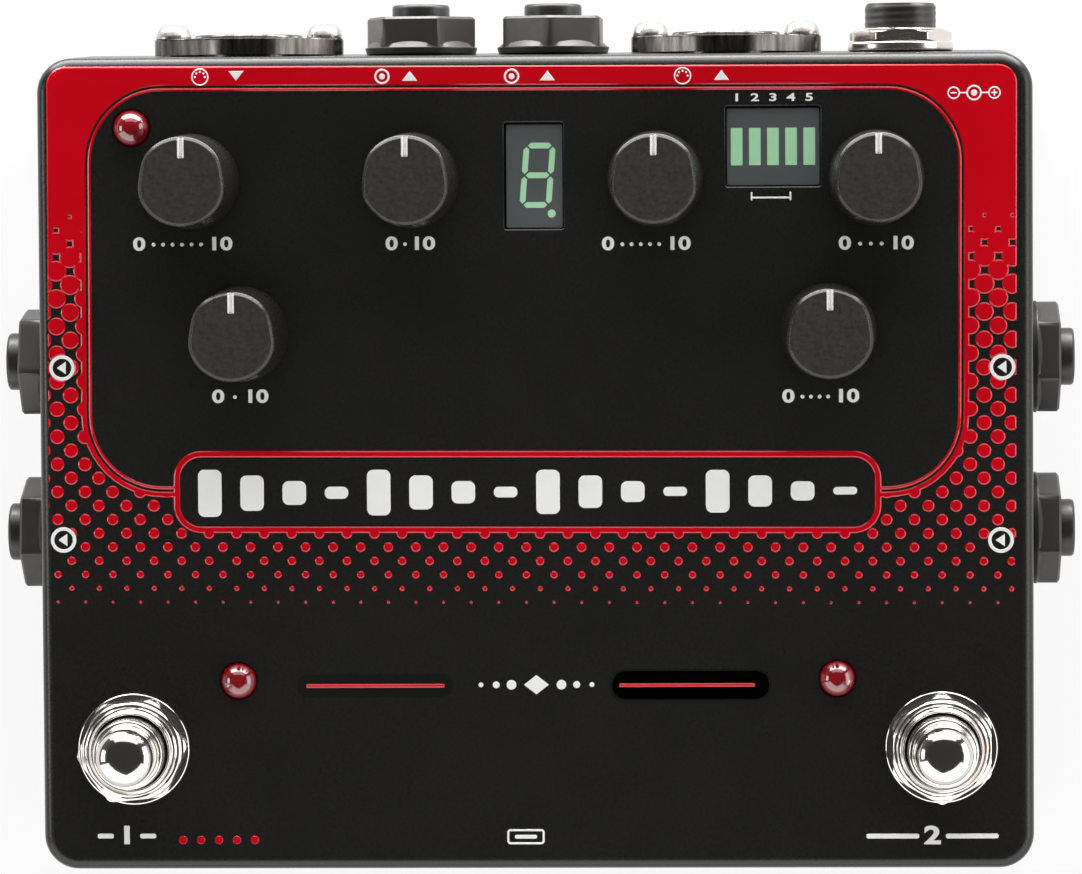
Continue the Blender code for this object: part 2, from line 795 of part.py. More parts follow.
def make_switches(metal):
    for name, shares in SWITCH_PLACE_SHARES.items():
        place = at(*top_place(shares), CASE_HEIGHT)
        add("footswitch_body_" + name, switch_body_solid(), metal, place)
        bore = circle(SWITCH_BUSHING + GAP, SWITCH_SEGMENTS)
        rim = circle(SWITCH_WASHER_RADIUS, SWITCH_SEGMENTS)
        washer_top = GAP + SWITCH_WASHER_THICK
        add("footswitch_washer_" + name, tube(bore, rim, GAP, washer_top), metal, place)
        nut = hex_nut(
            SWITCH_NUT_FLATS, SWITCH_BUSHING + GAP, washer_top + GAP, SWITCH_NUT_HEIGHT,
            SWITCH_NUT_CHAMFER, SWITCH_SEGMENTS, SWITCH_NUT_TURNS[name],
        )
        add("footswitch_nut_" + name, nut, metal, place)
        add("footswitch_plunger_" + name, plunger_solid(), metal, place)


# Connectors, each built along its own outward Z

def jack_solid():
    """Square housing behind the wall, threaded nose through it, and one bore for the plug."""
    housing = block_outline(JACK_WIDTH / 2, JACK_HEIGHT / 2, JACK_SEGMENTS)
    nose = circle(JACK_BUSHING, JACK_SEGMENTS)
    bore = circle(JACK_BORE, JACK_SEGMENTS)
    return loft([
        level(housing, -JACK_LENGTH),
        level(housing, 0),
        level(nose, 0),
        level(nose, JACK_BUSHING_OUT),
        level(bore, JACK_BUSHING_OUT),
        level(bore, JACK_BUSHING_OUT - JACK_BORE_DEPTH),
    ])


def jack_nut_solid(turn):
    sides = hexagon(JACK_NUT_FLATS, NUT_SEGMENTS, turn)
    around = turn - math.pi / 12
    flange = circle(JACK_NUT_FLANGE, NUT_SEGMENTS, around)
    crown = circle(JACK_NUT_FLATS / 2 - JACK_NUT_CHAMFER / 2, NUT_SEGMENTS, around)
    hole = circle(JACK_BUSHING + GAP, NUT_SEGMENTS, around)
    return loft([
        level(flange, 0),
        level(flange, JACK_NUT_FLANGE_HEIGHT),
        level(sides, JACK_NUT_FLANGE_HEIGHT),
        level(sides, JACK_NUT_HEIGHT - JACK_NUT_CHAMFER),
        level(crown, JACK_NUT_HEIGHT),
        level(hole, JACK_NUT_HEIGHT),
        level(hole, 0),
    ], closed=True)


def make_jacks(body_plastic, nut_plastic):
    for name, outward, half, along in wall_spots():
        seat = inner_seat(half, JACK_LEVEL, JACK_HEIGHT / 2)
        add("jack_" + name, jack_solid(), body_plastic, wall_frame(outward, seat, along, JACK_LEVEL))
        face = outer_seat(half, JACK_LEVEL, JACK_NUT_FLANGE)
        nut = jack_nut_solid(JACK_NUT_TURNS[name])
        add("jack_nut_" + name, nut, nut_plastic, wall_frame(outward, face, along, JACK_LEVEL))


def data_flange_outline():
    """A round plate with an ear on either side, joined by its tangent lines."""
    ear = DATA_SCREW_PITCH / 2
    lean = math.asin((DATA_FLANGE_RADIUS - DATA_EAR_RADIUS) / ear)
    top = math.pi / 2
    right = arc((ear, 0), DATA_EAR_RADIUS, lean - top, top - lean, CORNER_STEPS)
    middle = arc((0, 0), DATA_FLANGE_RADIUS, top - lean, top + lean, CORNER_STEPS)
    left = arc((-ear, 0), DATA_EAR_RADIUS, top + lean, 3 * top - lean, CORNER_STEPS)
    below = [(-x, -y) for x, y in middle]
    return right + middle + left + below


def data_barrel_solid():
    """Barrel through the wall, with a ring groove round the core that holds the contacts."""
    return turned([
        (DATA_BARREL, -DATA_DEPTH),
        (DATA_BARREL, DATA_FLANGE_THICK),
        (DATA_RING_OUTER, DATA_FLANGE_THICK),
        (DATA_RING_OUTER, DATA_FLANGE_THICK - DATA_RING_DEPTH),
        (DATA_CORE, DATA_FLANGE_THICK - DATA_RING_DEPTH),
        (DATA_CORE, DATA_FLANGE_THICK),
    ], DATA_SEGMENTS)


def data_flange_solid():
    """The plate, with a hole that ends inside the barrel's wall."""
    outline = data_flange_outline()
    hole_radius = (DATA_BARREL + DATA_RING_OUTER) / 2
    hole = [(x * hole_radius / math.hypot(x, y), y * hole_radius / math.hypot(x, y)) for x, y in outline]
    return tube(hole, outline, 0, DATA_FLANGE_THICK)


def data_contact_holes():
    holes = []
    for pin in range(DATA_PINS):
        angle = math.pi * pin / (DATA_PINS - 1)
        x = DATA_PIN_CIRCLE * math.cos(angle)
        y = DATA_PIN_CIRCLE * math.sin(angle)
        bottom = DATA_FLANGE_THICK - DATA_PIN_DEPTH
        hole = prism(circle(DATA_PIN_HOLE, PIN_SEGMENTS), bottom, DATA_FLANGE_THICK + CUT_OVERRUN)
        holes.append((hole, at(x, y, 0)))
    return gather(holes)


def data_screw_holes():
    outline = circle(DATA_SCREW_SHANK + GAP, SCREW_SEGMENTS)
    top = DATA_FLANGE_THICK + CUT_OVERRUN
    return gather([
        (prism(outline, -CUT_OVERRUN, top), at(side * DATA_SCREW_PITCH / 2, 0, 0))
        for side in (-1, 1)
    ])


def pan_screw_solid():
    seat = DATA_FLANGE_THICK + GAP
    inside = WALL + CASE_DRAFT + DATA_SCREW_INSIDE
    return turned([
        (DATA_SCREW_SHANK, -inside),
        (DATA_SCREW_SHANK, seat),
        (DATA_SCREW_HEAD, seat),
        *((DATA_SCREW_HEAD * out, seat + DATA_SCREW_HEAD_HEIGHT * up) for out, up in PAN_HEAD_SHARES),
    ], SCREW_SEGMENTS)


def make_data_sockets(metal, screw_metal):
    seat = outer_seat(HALF_DEPTH, DATA_LEVEL, DATA_FLANGE_RADIUS)
    for name, share in DATA_SOCKET_SHARES.items():
        place = data_frame(share, seat)
        socket = add("midi_socket_" + name, data_barrel_solid(), metal, place)
        flange = shape_with(socket, "UNION", data_flange_solid(), place)
        flange.name = "midi_flange_" + name
        contacts = shape_with(socket, "DIFFERENCE", data_contact_holes(), place)
        contacts.name = "midi_contacts_" + name
        holes = shape_with(socket, "DIFFERENCE", data_screw_holes(), place)
        holes.name = "midi_screw_holes_" + name
        for side, sign in (("a", -1), ("b", 1)):
            ear = place @ Matrix.Translation((sign * DATA_SCREW_PITCH / 2, 0, 0))
            screw = add("midi_screw_" + name + "_" + side, pan_screw_solid(), screw_metal, ear)
            mouth = DATA_FLANGE_THICK + GAP + DATA_SCREW_HEAD_HEIGHT
            shape_with(screw, "DIFFERENCE", cross_recess(RECESS_DEPTH), ear @ at(0, 0, mouth))


def make_inlet(plastic, metal):
    """Threaded DC inlet: the centre contact stands in its bore."""
    place = inlet_frame(inner_seat(HALF_DEPTH, INLET_LEVEL, INLET_BODY))
    floor = INLET_OUT - INLET_BORE_DEPTH
    add("power_jack", turned([
        (INLET_BODY, -INLET_LENGTH),
        (INLET_BODY, 0),
        (INLET_THREAD, 0),
        (INLET_THREAD, INLET_OUT),
        (INLET_BORE, INLET_OUT),
        (INLET_BORE, floor),
        (INLET_PIN, floor),
        (INLET_PIN, INLET_OUT - INLET_PIN_BACK),
    ], INLET_SEGMENTS), plastic, place)
    outside = inlet_frame(outer_seat(HALF_DEPTH, INLET_LEVEL, INLET_WASHER_RADIUS))
    bore = INLET_THREAD + GAP
    rim = circle(INLET_WASHER_RADIUS, INLET_SEGMENTS)
    washer = tube(circle(bore, INLET_SEGMENTS), rim, 0, INLET_WASHER_THICK)
    add("power_jack_washer", washer, metal, outside)
    nut_from = INLET_WASHER_THICK + GAP
    nut = hex_nut(INLET_NUT_FLATS, bore, nut_from, INLET_NUT_HEIGHT, JACK_NUT_CHAMFER, NUT_SEGMENTS, 0.0)
    add("power_jack_nut", nut, metal, outside)


def make_usb(metal):
    """Metal shell with its mouth in the front wall and a contact tongue inside."""
    place = usb_frame(wall_outside(HALF_DEPTH, USB_LEVEL + USB_HEIGHT / 2) - USB_MOUTH_BACK)
    half_x = USB_WIDTH / 2
    half_y = USB_HEIGHT / 2
    inner_corner = USB_CORNER - USB_SHELL
    shell = rounded_block(half_x, half_y, USB_CORNER, USB_CORNER_STEPS)
    mouth = rounded_block(half_x - USB_SHELL, half_y - USB_SHELL, inner_corner, USB_CORNER_STEPS)
    tongue = rounded_block(USB_TONGUE_WIDTH / 2, USB_TONGUE_HEIGHT / 2, USB_TONGUE_CORNER, USB_CORNER_STEPS)
    add("usb_socket", loft([
        level(shell, -USB_LENGTH),
        level(shell, 0),
        level(mouth, 0),
        level(mouth, -USB_MOUTH_DEPTH),
        level(tongue, -USB_MOUTH_DEPTH),
        level(tongue, -USB_MOUTH_BACK),
    ]), metal, place)


# Board

def board_outline():
    """A plate as deep as the case, with its front corners cut back round the footswitches."""
    side = HALF_WIDTH - BOARD_SIDE_INSET
    rear = HALF_DEPTH - BOARD_REAR_INSET
    front = BOARD_FRONT_INSET - HALF_DEPTH
    switch_x, switch_y = top_place(SWITCH_PLACE_SHARES["right"])
    room = SWITCH_CAN_RADIUS + BOARD_SWITCH_CLEAR
    notch_x = switch_x - room
    notch_y = switch_y + room
    return [
        (notch_x, front), (notch_x, notch_y), (side, notch_y), (side, rear),
        (-side, rear), (-side, notch_y), (-notch_x, notch_y), (-notch_x, front),
    ]


def make_board(laminate):
    board = add("main_board", prism(board_outline(), BOARD_UNDER, BOARD_TOP), laminate)
    chips = []
    for size, places in ((CHIP_SIZE, (CHIP_PLACE_SHARES,)), (SMALL_CHIP_SIZE, SMALL_CHIP_PLACE_SHARES)):
        for shares in places:
            outline = block_outline(size / 2, size / 2, 4)
            chip = prism(outline, BOARD_UNDER - CHIP_HEIGHT, BOARD_UNDER + JOIN_DEPTH)
            chips.append((chip, at(*top_place(shares), 0)))
    shape_with(board, "UNION", gather(chips))


def main():
    clear_scene()
    paint = look("black_powder_coat", (0.012, 0.012, 0.012), 0.35)
    bare_metal = look("base_metal", (0.03, 0.03, 0.03), 0.5)
    knob_plastic = look("knob_plastic", (0.045, 0.042, 0.038), 0.55)
    nut_plastic = look("black_plastic", (0.03, 0.028, 0.026), 0.45)
    chrome = look("chrome", (0.8, 0.8, 0.8), 0.12, 1.0)
    steel = look("steel", (0.55, 0.55, 0.55), 0.35, 1.0)
    lens = look("red_lens", (0.35, 0.005, 0.01), 0.1)
    face = look("display_face", (0.08, 0.09, 0.09), 0.4)
    laminate = look("board_laminate", (0.01, 0.08, 0.03), 0.5)

    make_case(paint)
    make_base(bare_metal)
    make_base_screws(steel)
    make_controls(knob_plastic, steel, nut_plastic)
    make_display("digit_display", DIGIT_WIDTH, DIGIT_DEPTH, DIGIT_PLACE_SHARES, face)
    make_display("bank_display", BANK_WIDTH, BANK_DEPTH, BANK_PLACE_SHARES, face)
    make_lamps(lens)
    make_switches(chrome)
    make_jacks(nut_plastic, nut_plastic)
    make_data_sockets(chrome, chrome)
    make_inlet(nut_plastic, chrome)
    make_usb(steel)
    make_board(laminate)


main()
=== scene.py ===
"""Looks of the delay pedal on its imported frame. Metres, +Z up, +X to the player's right, +Y to the back."""

import json
import math

import bmesh
import bpy
from mathutils import Matrix, Vector, geometry


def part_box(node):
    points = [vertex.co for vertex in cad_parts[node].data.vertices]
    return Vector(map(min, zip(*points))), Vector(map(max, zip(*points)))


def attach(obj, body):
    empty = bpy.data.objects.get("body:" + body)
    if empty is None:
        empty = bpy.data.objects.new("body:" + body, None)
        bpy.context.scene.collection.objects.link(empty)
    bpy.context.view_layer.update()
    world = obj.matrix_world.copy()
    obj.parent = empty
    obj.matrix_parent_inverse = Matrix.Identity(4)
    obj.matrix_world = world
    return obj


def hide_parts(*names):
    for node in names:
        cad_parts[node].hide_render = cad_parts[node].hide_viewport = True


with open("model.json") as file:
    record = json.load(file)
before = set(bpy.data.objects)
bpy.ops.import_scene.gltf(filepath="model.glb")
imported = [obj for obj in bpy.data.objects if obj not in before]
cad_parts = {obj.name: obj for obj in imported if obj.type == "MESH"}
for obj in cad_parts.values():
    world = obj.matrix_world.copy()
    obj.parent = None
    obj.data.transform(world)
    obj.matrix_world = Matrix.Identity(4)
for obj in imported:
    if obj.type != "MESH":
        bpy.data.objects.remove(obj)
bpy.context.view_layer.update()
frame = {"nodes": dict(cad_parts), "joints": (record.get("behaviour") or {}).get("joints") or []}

# The case, as the frame gives it
CASE_LOW, CASE_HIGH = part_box("enclosure")
TOP = CASE_HIGH.z
SEAM = CASE_LOW.z
HALF_WIDTH = CASE_HIGH.x
HALF_DEPTH = CASE_HIGH.y
HINGES = [joint for joint in frame["joints"] if joint["type"] == "hinge"]
DIALS = {joint["child"][len("dial_"):]: joint["pos_m"] for joint in HINGES}
SIDES = ("left", "right")
LAMPS = ("rear", "left", "right")
CORNERS = ("front_left", "front_right", "rear_left", "rear_right")
JACKS = {
    "left_rear": ((-1, 0, 0), math.radians(20)),
    "left_front": ((-1, 0, 0), math.radians(10)),
    "right_rear": ((1, 0, 0), math.radians(-9)),
    "right_front": ((1, 0, 0), math.radians(-8)),
    "back_left": ((0, 1, 0), math.radians(-10)),
    "back_right": ((0, 1, 0), math.radians(28)),
}
SWITCH_NUT_TURNS = {"left": math.radians(6), "right": math.radians(30)}
BACK = (0, 1, 0)
FRONT = (0, -1, 0)

# Case shell
CASE_DRAFT = 0.00115
CASE_CORNER = 0.0050
CASE_EDGE = 0.0019
WALL = 0.0023
PANEL = 0.0026
POST_INSET = 0.0056
POST_RADIUS = 0.0042
HOLE_EDGE = 0.0003
HOLE_STEPS = 4
WINDOW_SPARE = 0.00008
HOLE_SPARE = 0.0003
OVERRUN = 0.0020
DIAL_HOLE = 0.0043
SWITCH_HOLE = 0.0064
DATA_HOLE = 0.0078
INLET_HOLE = 0.0055
SCREW_HOLE = 0.0016
POST_HOLE_TOP = 0.0118
WINDOW_CORNER = 0.0003
LAMP_RADIUS = 0.0026
THREAD_PITCH = 0.00075
FLANGE_THICK = 0.0019

# Steps and shading
ROUND = 96
SMALL_ROUND = 48
CORNER_STEPS = 12
EDGE_STEPS = 8
DOME_STEPS = 16
SHARP_ANGLE = math.radians(38)
FULL_TURN = 2 * math.pi
TINY = 1e-7

# Printed top: its red print lies slightly askew on the case
PRINT_TURN = -0.0042
# Rounded blocks are given as left, right, front, rear and corner radius
RED_BLOCK = (-0.07022, 0.06902, -0.0225, 0.05715, 0.0027)
PANEL_BLOCK = (-0.06546, 0.06227, -0.00484, 0.05515, 0.01175)
BADGE_BLOCK = (-0.05213, 0.04972, -0.01000, 0.00184, 0.0040)
BAND = 0.00080
BAND_GAP = 0.00033
INNER_LINE = 0.00045
BADGE_LINE = 0.00092
DOT_PITCH = 0.003981
DOT_START = (-0.06895, -0.02000)
DOT_ROWS = 15
DOT_COLUMNS = 36
DOT_STOPS = (
    (-0.020, 0.00022), (-0.016, 0.00054), (-0.010, 0.00079), (0.0, 0.00100), (0.020, 0.00130),
    (0.028, 0.00151), (0.034, 0.00172), (0.0375, 0.00202),
)
SOLID_FROM = 0.0373
DOTS_TO = 0.0385
INK_RISE = 0.00010
INK_EDGE = 0.00018
INK_SINK = 0.00003
INK_SHARP = math.radians(20)
WHITE_RISE = 0.00004
WHITE_EDGE = 0.00005
DRAPE_STEPS = (0.0, 0.0002, 0.0004, 0.0006, 0.0008)

MARK_RADIUS = 0.00185
MARK_LINE = 0.0005
MARK_PLACES = ((-0.06814, 0.01410), (-0.06818, -0.01074), (0.06708, 0.01357), (0.06681, -0.01126))


def lerp(a, b, share):
    return a + (b - a) * share


# Outlines are lists of (x, y), counter-clockwise

def circle(radius, count=ROUND, turn=0.0):
    angles = [turn + FULL_TURN * step / count for step in range(count)]
    return [(radius * math.cos(a), radius * math.sin(a)) for a in angles]


def arc(centre, radius, start, end, steps):
    angles = [lerp(start, end, step / steps) for step in range(steps + 1)]
    return [(centre[0] + radius * math.cos(a), centre[1] + radius * math.sin(a)) for a in angles]


def rounded_block(half_x, half_y, radius, steps=CORNER_STEPS):
    points = []
    for quarter, (sx, sy) in enumerate(((1, -1), (1, 1), (-1, 1), (-1, -1))):
        centre = (sx * (half_x - radius), sy * (half_y - radius))
        start = math.pi / 2 * (quarter - 1)
        points += arc(centre, radius, start, start + math.pi / 2, steps)
    return points


def hexagon(flats, turn, count=ROUND, blunt=0.985):
    """A hexagon with slightly blunt corners, as many points as a round of the same count."""
    points = []
    for step in range(count):
        angle = turn + FULL_TURN * step / count
        within = math.remainder(FULL_TURN * step / count, math.pi / 3)
        reach = min(flats / 2 / math.cos(math.pi / 6 - abs(within)), flats / math.sqrt(3) * blunt)
        points.append((reach * math.cos(angle), reach * math.sin(angle)))
    return points


def moved(outline, x, y):
    return [(a + x, b + y) for a, b in outline]


def softened(points, steps=4):
    """A profile in which each point with a third number is a corner rounded by that much."""
    made = []
    for index, point in enumerate(points):
        if len(point) == 2:
            made.append(point)
            continue
        corner = Vector(point[:2])
        before = Vector(points[index - 1][:2])
        after = Vector(points[(index + 1) % len(points)][:2])
        start = corner + (before - corner).normalized() * point[2]
        end = corner + (after - corner).normalized() * point[2]
        for step in range(steps + 1):
            share = step / steps
            bend = start * (1 - share) ** 2 + corner * 2 * share * (1 - share) + end * share ** 2
            made.append(tuple(bend))
    return made


# Mesh builders

def level(outline, z):
    return [(x, y, z) for x, y in outline]


def loft(rings, closed=False):
    """A solid through rings of equal count, or of one point on the axis. Its ends are capped unless closed."""
    bm = bmesh.new()
    count = max(len(ring) for ring in rings)
    loops = [[bm.verts.new(point) for point in ring] for ring in rings]
    pairs = list(zip(loops, loops[1:]))
    if closed:
        pairs.append((loops[-1], loops[0]))
    for lower, upper in pairs:
        for a in range(count):
            b = (a + 1) % count
            under = (lower[a % len(lower)], lower[b % len(lower)])
            above = (upper[b % len(upper)], upper[a % len(upper)])
            bm.faces.new(dict.fromkeys(under + above))
    if not closed:
        for end in (loops[0], loops[-1]):
            if len(end) > 2:
                bm.faces.new(end)
    bmesh.ops.recalc_face_normals(bm, faces=bm.faces)
    return bm


def turned(profile, count=ROUND, closed=False):
    """A solid of revolution about Z from (radius, z) points."""
    return loft([level(circle(r, count), z) if r > TINY else [(0, 0, z)] for r, z in profile], closed)


def round_rings(profile):
    return [level(circle(r), z) for r, z in softened(profile)]


def prism(outline, bottom, top):
    return loft([level(outline, bottom), level(outline, top)])


def thread_rings(radius, bottom, top, pitch, depth, count=ROUND, steps=8):
    """Rings of a round bar with a screw thread, from bottom to top."""
    total = max(1, round((top - bottom) / pitch * steps))
    rings = []
    for step in range(total + 1):
        z = lerp(bottom, top, step / total)
        ring = []
        for index in range(count):
            share = index / count
            wave = 0.5 - 0.5 * math.cos(FULL_TURN * (z / pitch - share))
            reach = radius - depth * wave
            ring.append((reach * math.cos(FULL_TURN * share), reach * math.sin(FULL_TURN * share), z))
        rings.append(ring)
    return rings


def at(x, y, z=0.0):
    return Matrix.Translation((x, y, z))


def gather(parts):
    """One mesh from several separate solids, each given with the matrix that places it."""
    whole = bmesh.new()
    for bm, place in parts:
        bmesh.ops.transform(bm, matrix=place, verts=bm.verts)
        part = bpy.data.meshes.new("part")
        bm.to_mesh(part)
        bm.free()
        whole.from_mesh(part)
        bpy.data.meshes.remove(part)
    return whole


def link(name, bm):
    mesh = bpy.data.meshes.new(name)
    bm.to_mesh(mesh)
    bm.free()
    made = bpy.data.objects.new(name, mesh)
    bpy.context.scene.collection.objects.link(made)
    return made


def cut(bm, cutter, operation="DIFFERENCE"):
    """The first solid after an exact Boolean with the second."""
    target = link("target", bm)
    tool = link("tool", cutter)
    boolean = target.modifiers.new("boolean", "BOOLEAN")
    boolean.operation = operation
    boolean.solver = "EXACT"
    boolean.object = tool
    bpy.context.view_layer.update()
    result = target.evaluated_get(bpy.context.evaluated_depsgraph_get()).to_mesh()
    made = bmesh.new()
    made.from_mesh(result)
    for used in (target, tool):
        bpy.data.objects.remove(used)
    return made


def add(name, bm, surface, body="chassis", place=None, stands_for=(), sharp=SHARP_ANGLE):
    made = link(name, bm)
    made.data.materials.append(surface)
    made.data.shade_smooth()
    made.data.set_sharp_from_angle(angle=sharp)
    made.modifiers.new("even_normals", "WEIGHTED_NORMAL").keep_sharp = True
    if place is not None:
        made.matrix_world = place
    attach(made, body)
    if stands_for:
        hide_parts(*stands_for)
    return made


def middle(node):
    low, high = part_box(node)
    return (low + high) / 2


def over(node, z=0.0):
    """A place on a node's upright axis."""
    centre = middle(node)
    return at(centre.x, centre.y, z)


def facing(outward, origin):
    """A frame whose Z points outward from a wall and whose Y points up."""
    out = Vector(outward)
    up = Vector((0, 0, 1))
    turn = Matrix((up.cross(out), up, out)).transposed().to_4x4()
    return Matrix.Translation(origin) @ turn


def wall_place(node, outward, outer=True):
    """A frame on a node's axis, with its origin at the node's outer or inner end."""
    low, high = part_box(node)
    origin = (low + high) / 2
    axis = 0 if outward[0] else 1
    origin[axis] = high[axis] if (outward[axis] > 0) == outer else low[axis]
    return facing(outward, origin)


def extent(node, outward):
    """A node's length along the outward direction."""
    low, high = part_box(node)
    return (high - low)[0 if outward[0] else 1]


# Materials: each drifts in tone and roughness, and has a fine relief

def fill(node, **values):
    """Sets a node's inputs by name."""
    for socket, value in values.items():
        node.inputs[socket.replace("_", " ")].default_value = value
    return node


def finish(name, dark, light, rough, metallic=0.0, broad=90.0, grain=2500.0, relief=0.0, stretch=(1, 1, 1),
           grooves=0.0, **sockets):
    made = bpy.data.materials.new(name)
    made.use_nodes = True
    nodes = made.node_tree.nodes
    wire = made.node_tree.links.new
    shader = fill(nodes["Principled BSDF"], Metallic=metallic, **sockets)
    place = nodes.new("ShaderNodeTexCoord")
    mapping = fill(nodes.new("ShaderNodeMapping"), Scale=stretch)
    wire(place.outputs["Object"], mapping.inputs["Vector"])
    tone = fill(nodes.new("ShaderNodeTexNoise"), Scale=broad, Detail=5.0)
    fine = fill(nodes.new("ShaderNodeTexNoise"), Scale=grain, Detail=3.0)
    for texture in (tone, fine):
        wire(mapping.outputs["Vector"], texture.inputs["Vector"])
    spread = fill(nodes.new("ShaderNodeMapRange"), From_Min=0.3, From_Max=0.7)
    wire(tone.outputs[0], spread.inputs["Value"])
    colour = nodes.new("ShaderNodeMix")
    colour.data_type = "RGBA"
    colour.inputs[6].default_value = (*dark, 1)
    colour.inputs[7].default_value = (*light, 1)
    wire(spread.outputs[0], colour.inputs[0])
    wire(colour.outputs[2], shader.inputs["Base Color"])
    polish = fill(nodes.new("ShaderNodeMapRange"), From_Min=0.3, From_Max=0.7, To_Min=rough[0], To_Max=rough[1])
    wire(fine.outputs[0], polish.inputs["Value"])
    wire(polish.outputs[0], shader.inputs["Roughness"])
    bump = fill(nodes.new("ShaderNodeBump"), Distance=relief)
    wire(fine.outputs[0], bump.inputs["Height"])
    wire(bump.outputs[0], shader.inputs["Normal"])
    if grooves:
        wave = fill(nodes.new("ShaderNodeTexWave"), Scale=480.0, Distortion=2.5, Detail_Scale=0.4)
        wave.wave_type = "RINGS"
        wave.rings_direction = "Z"
        wire(place.outputs["Object"], wave.inputs["Vector"])
        rings = fill(nodes.new("ShaderNodeBump"), Distance=grooves)
        wire(wave.outputs[1], rings.inputs["Height"])
        wire(bump.outputs[0], rings.inputs["Normal"])
        wire(rings.outputs[0], shader.inputs["Normal"])
    return made


PAINT = finish("case_paint", (0.0105, 0.0100, 0.0095), (0.0130, 0.0125, 0.0118), (0.24, 0.32), relief=0.000003,
               grain=1800.0, Specular_IOR_Level=0.4)
BASE_PAINT = finish("base_paint", (0.012, 0.012, 0.012), (0.018, 0.017, 0.017), (0.45, 0.6), relief=0.00002)
RED = finish("red_ink", (0.53, 0.0, 0.006), (0.57, 0.0, 0.009), (0.14, 0.22), relief=0.000002, grain=900.0,
             Specular_IOR_Level=0.6)
WHITE = finish("white_ink", (0.84, 0.84, 0.83), (0.90, 0.90, 0.89), (0.3, 0.4), relief=0.000003)
# Two blacks darker than the panel, used only for the patches round the red lines.
DEEP_BLACK = finish("matte_black_ink", (0.0006, 0.0005, 0.0005), (0.0012, 0.0011, 0.0010), (0.7, 0.85),
                    relief=0.00001, Specular_IOR_Level=0.0)
SOFT_BLACK = finish("worn_black_ink", (0.0045, 0.0042, 0.0040), (0.0060, 0.0056, 0.0053), (0.6, 0.8),
                    relief=0.00001, Specular_IOR_Level=0.1)
# Darker copy of the knob plastic for the walls and bevel: painted shade on the faces that turn away from the
# light.
SHADED_KNOB_WALL = finish("knob_wall", (0.009, 0.008, 0.007), (0.013, 0.012, 0.011), (0.22, 0.34), relief=0.000006)
KNOB = finish("knob_plastic", (0.024, 0.020, 0.018), (0.042, 0.037, 0.033), (0.28, 0.42), broad=1600.0,
              grain=3800.0, relief=0.00002, Specular_IOR_Level=0.55)
POINTER = finish("pointer_white", (0.78, 0.78, 0.76), (0.86, 0.86, 0.84), (0.35, 0.5), relief=0.00001)
NICKEL = finish("polished_nickel", (0.70, 0.66, 0.61), (0.82, 0.78, 0.73), (0.06, 0.13), 1.0, relief=0.0000012)
TURNED_NICKEL = finish("turned_nickel", (0.72, 0.66, 0.61), (0.86, 0.80, 0.75), (0.16, 0.28), 1.0,
                       grain=5000.0, relief=0.000004, stretch=(0.1, 0.1, 1), grooves=0.00006)
# Plate metal: the fine stretched relief is its brushed grain; the dark and light streaks in its tone are
# painted reflection.
PLATE_PAINTED_REFLECTIONS = finish("brushed_plate", (0.03, 0.027, 0.025), (0.22, 0.20, 0.185), (0.20, 0.32), 1.0, broad=900.0,
               relief=0.000003, stretch=(1, 0.12, 0.12))
HEAD = finish("screw_head", (0.50, 0.47, 0.44), (0.64, 0.60, 0.57), (0.25, 0.36), 1.0, relief=0.000003)
ZINC = finish("zinc_plate", (0.45, 0.45, 0.44), (0.60, 0.60, 0.58), (0.25, 0.4), 1.0, relief=0.000006)
STEEL = finish("plated_steel", (0.50, 0.49, 0.47), (0.64, 0.63, 0.61), (0.2, 0.35), 1.0, relief=0.000005)
SHAFT = finish("turned_aluminium", (0.60, 0.60, 0.60), (0.75, 0.75, 0.75), (0.25, 0.4), 1.0, relief=0.000006)
JACK_PLASTIC = finish("jack_plastic", (0.016, 0.015, 0.014), (0.026, 0.024, 0.022), (0.32, 0.45),
                      relief=0.00001)
NUT_PLASTIC = finish("nut_plastic", (0.030, 0.027, 0.025), (0.044, 0.040, 0.037), (0.30, 0.42), relief=0.000012)
GOLD = finish("contact_spring", (0.75, 0.55, 0.25), (0.86, 0.66, 0.33), (0.18, 0.3), 1.0, relief=0.000004)
HOUSING = finish("moulded_black", (0.018, 0.018, 0.018), (0.028, 0.028, 0.028), (0.45, 0.6), relief=0.00002)
DISPLAY = finish("display_housing", (0.010, 0.011, 0.011), (0.016, 0.017, 0.017), (0.3, 0.42), relief=0.000008)
FACE = finish("display_face", (0.074, 0.083, 0.085), (0.086, 0.096, 0.098), (0.35, 0.45), relief=0.000006)
GLOW = finish("display_segment", (0.38, 0.69, 0.42), (0.41, 0.74, 0.46), (0.3, 0.4), relief=0.000004)
LENS = finish("red_lens", (0.17, 0.002, 0.005), (0.25, 0.004, 0.010), (0.04, 0.09), relief=0.000002,
              Subsurface_Weight=0.15, Specular_IOR_Level=1.0, Coat_Weight=1.0)
LAMINATE = finish("board_laminate", (0.008, 0.07, 0.026), (0.014, 0.11, 0.04), (0.25, 0.4), relief=0.00001)


# Case

def wall_outside(half_base, z):
    return half_base - CASE_DRAFT * (z - SEAM) / (TOP - SEAM)


def case_ring(inset, z, draft_at):
    half_x = wall_outside(HALF_WIDTH, draft_at) - inset
    half_y = wall_outside(HALF_DEPTH, draft_at) - inset
    return level(rounded_block(half_x, half_y, CASE_CORNER - inset), z)


def cavity_ring(z, steps=16):
    half_x = wall_outside(HALF_WIDTH, z) - WALL
    half_y = wall_outside(HALF_DEPTH, z) - WALL
    post_x = HALF_WIDTH - POST_INSET
    post_y = HALF_DEPTH - POST_INSET
    meet_x = math.acos((half_x - post_x) / POST_RADIUS)
    meet_y = math.asin((half_y - post_y) / POST_RADIUS)
    quarter = arc((post_x, post_y), POST_RADIUS, -meet_x, -meet_y - math.pi, steps)
    rear = quarter + [(-x, y) for x, y in reversed(quarter)]
    return level(rear + [(-x, -y) for x, y in rear], z)


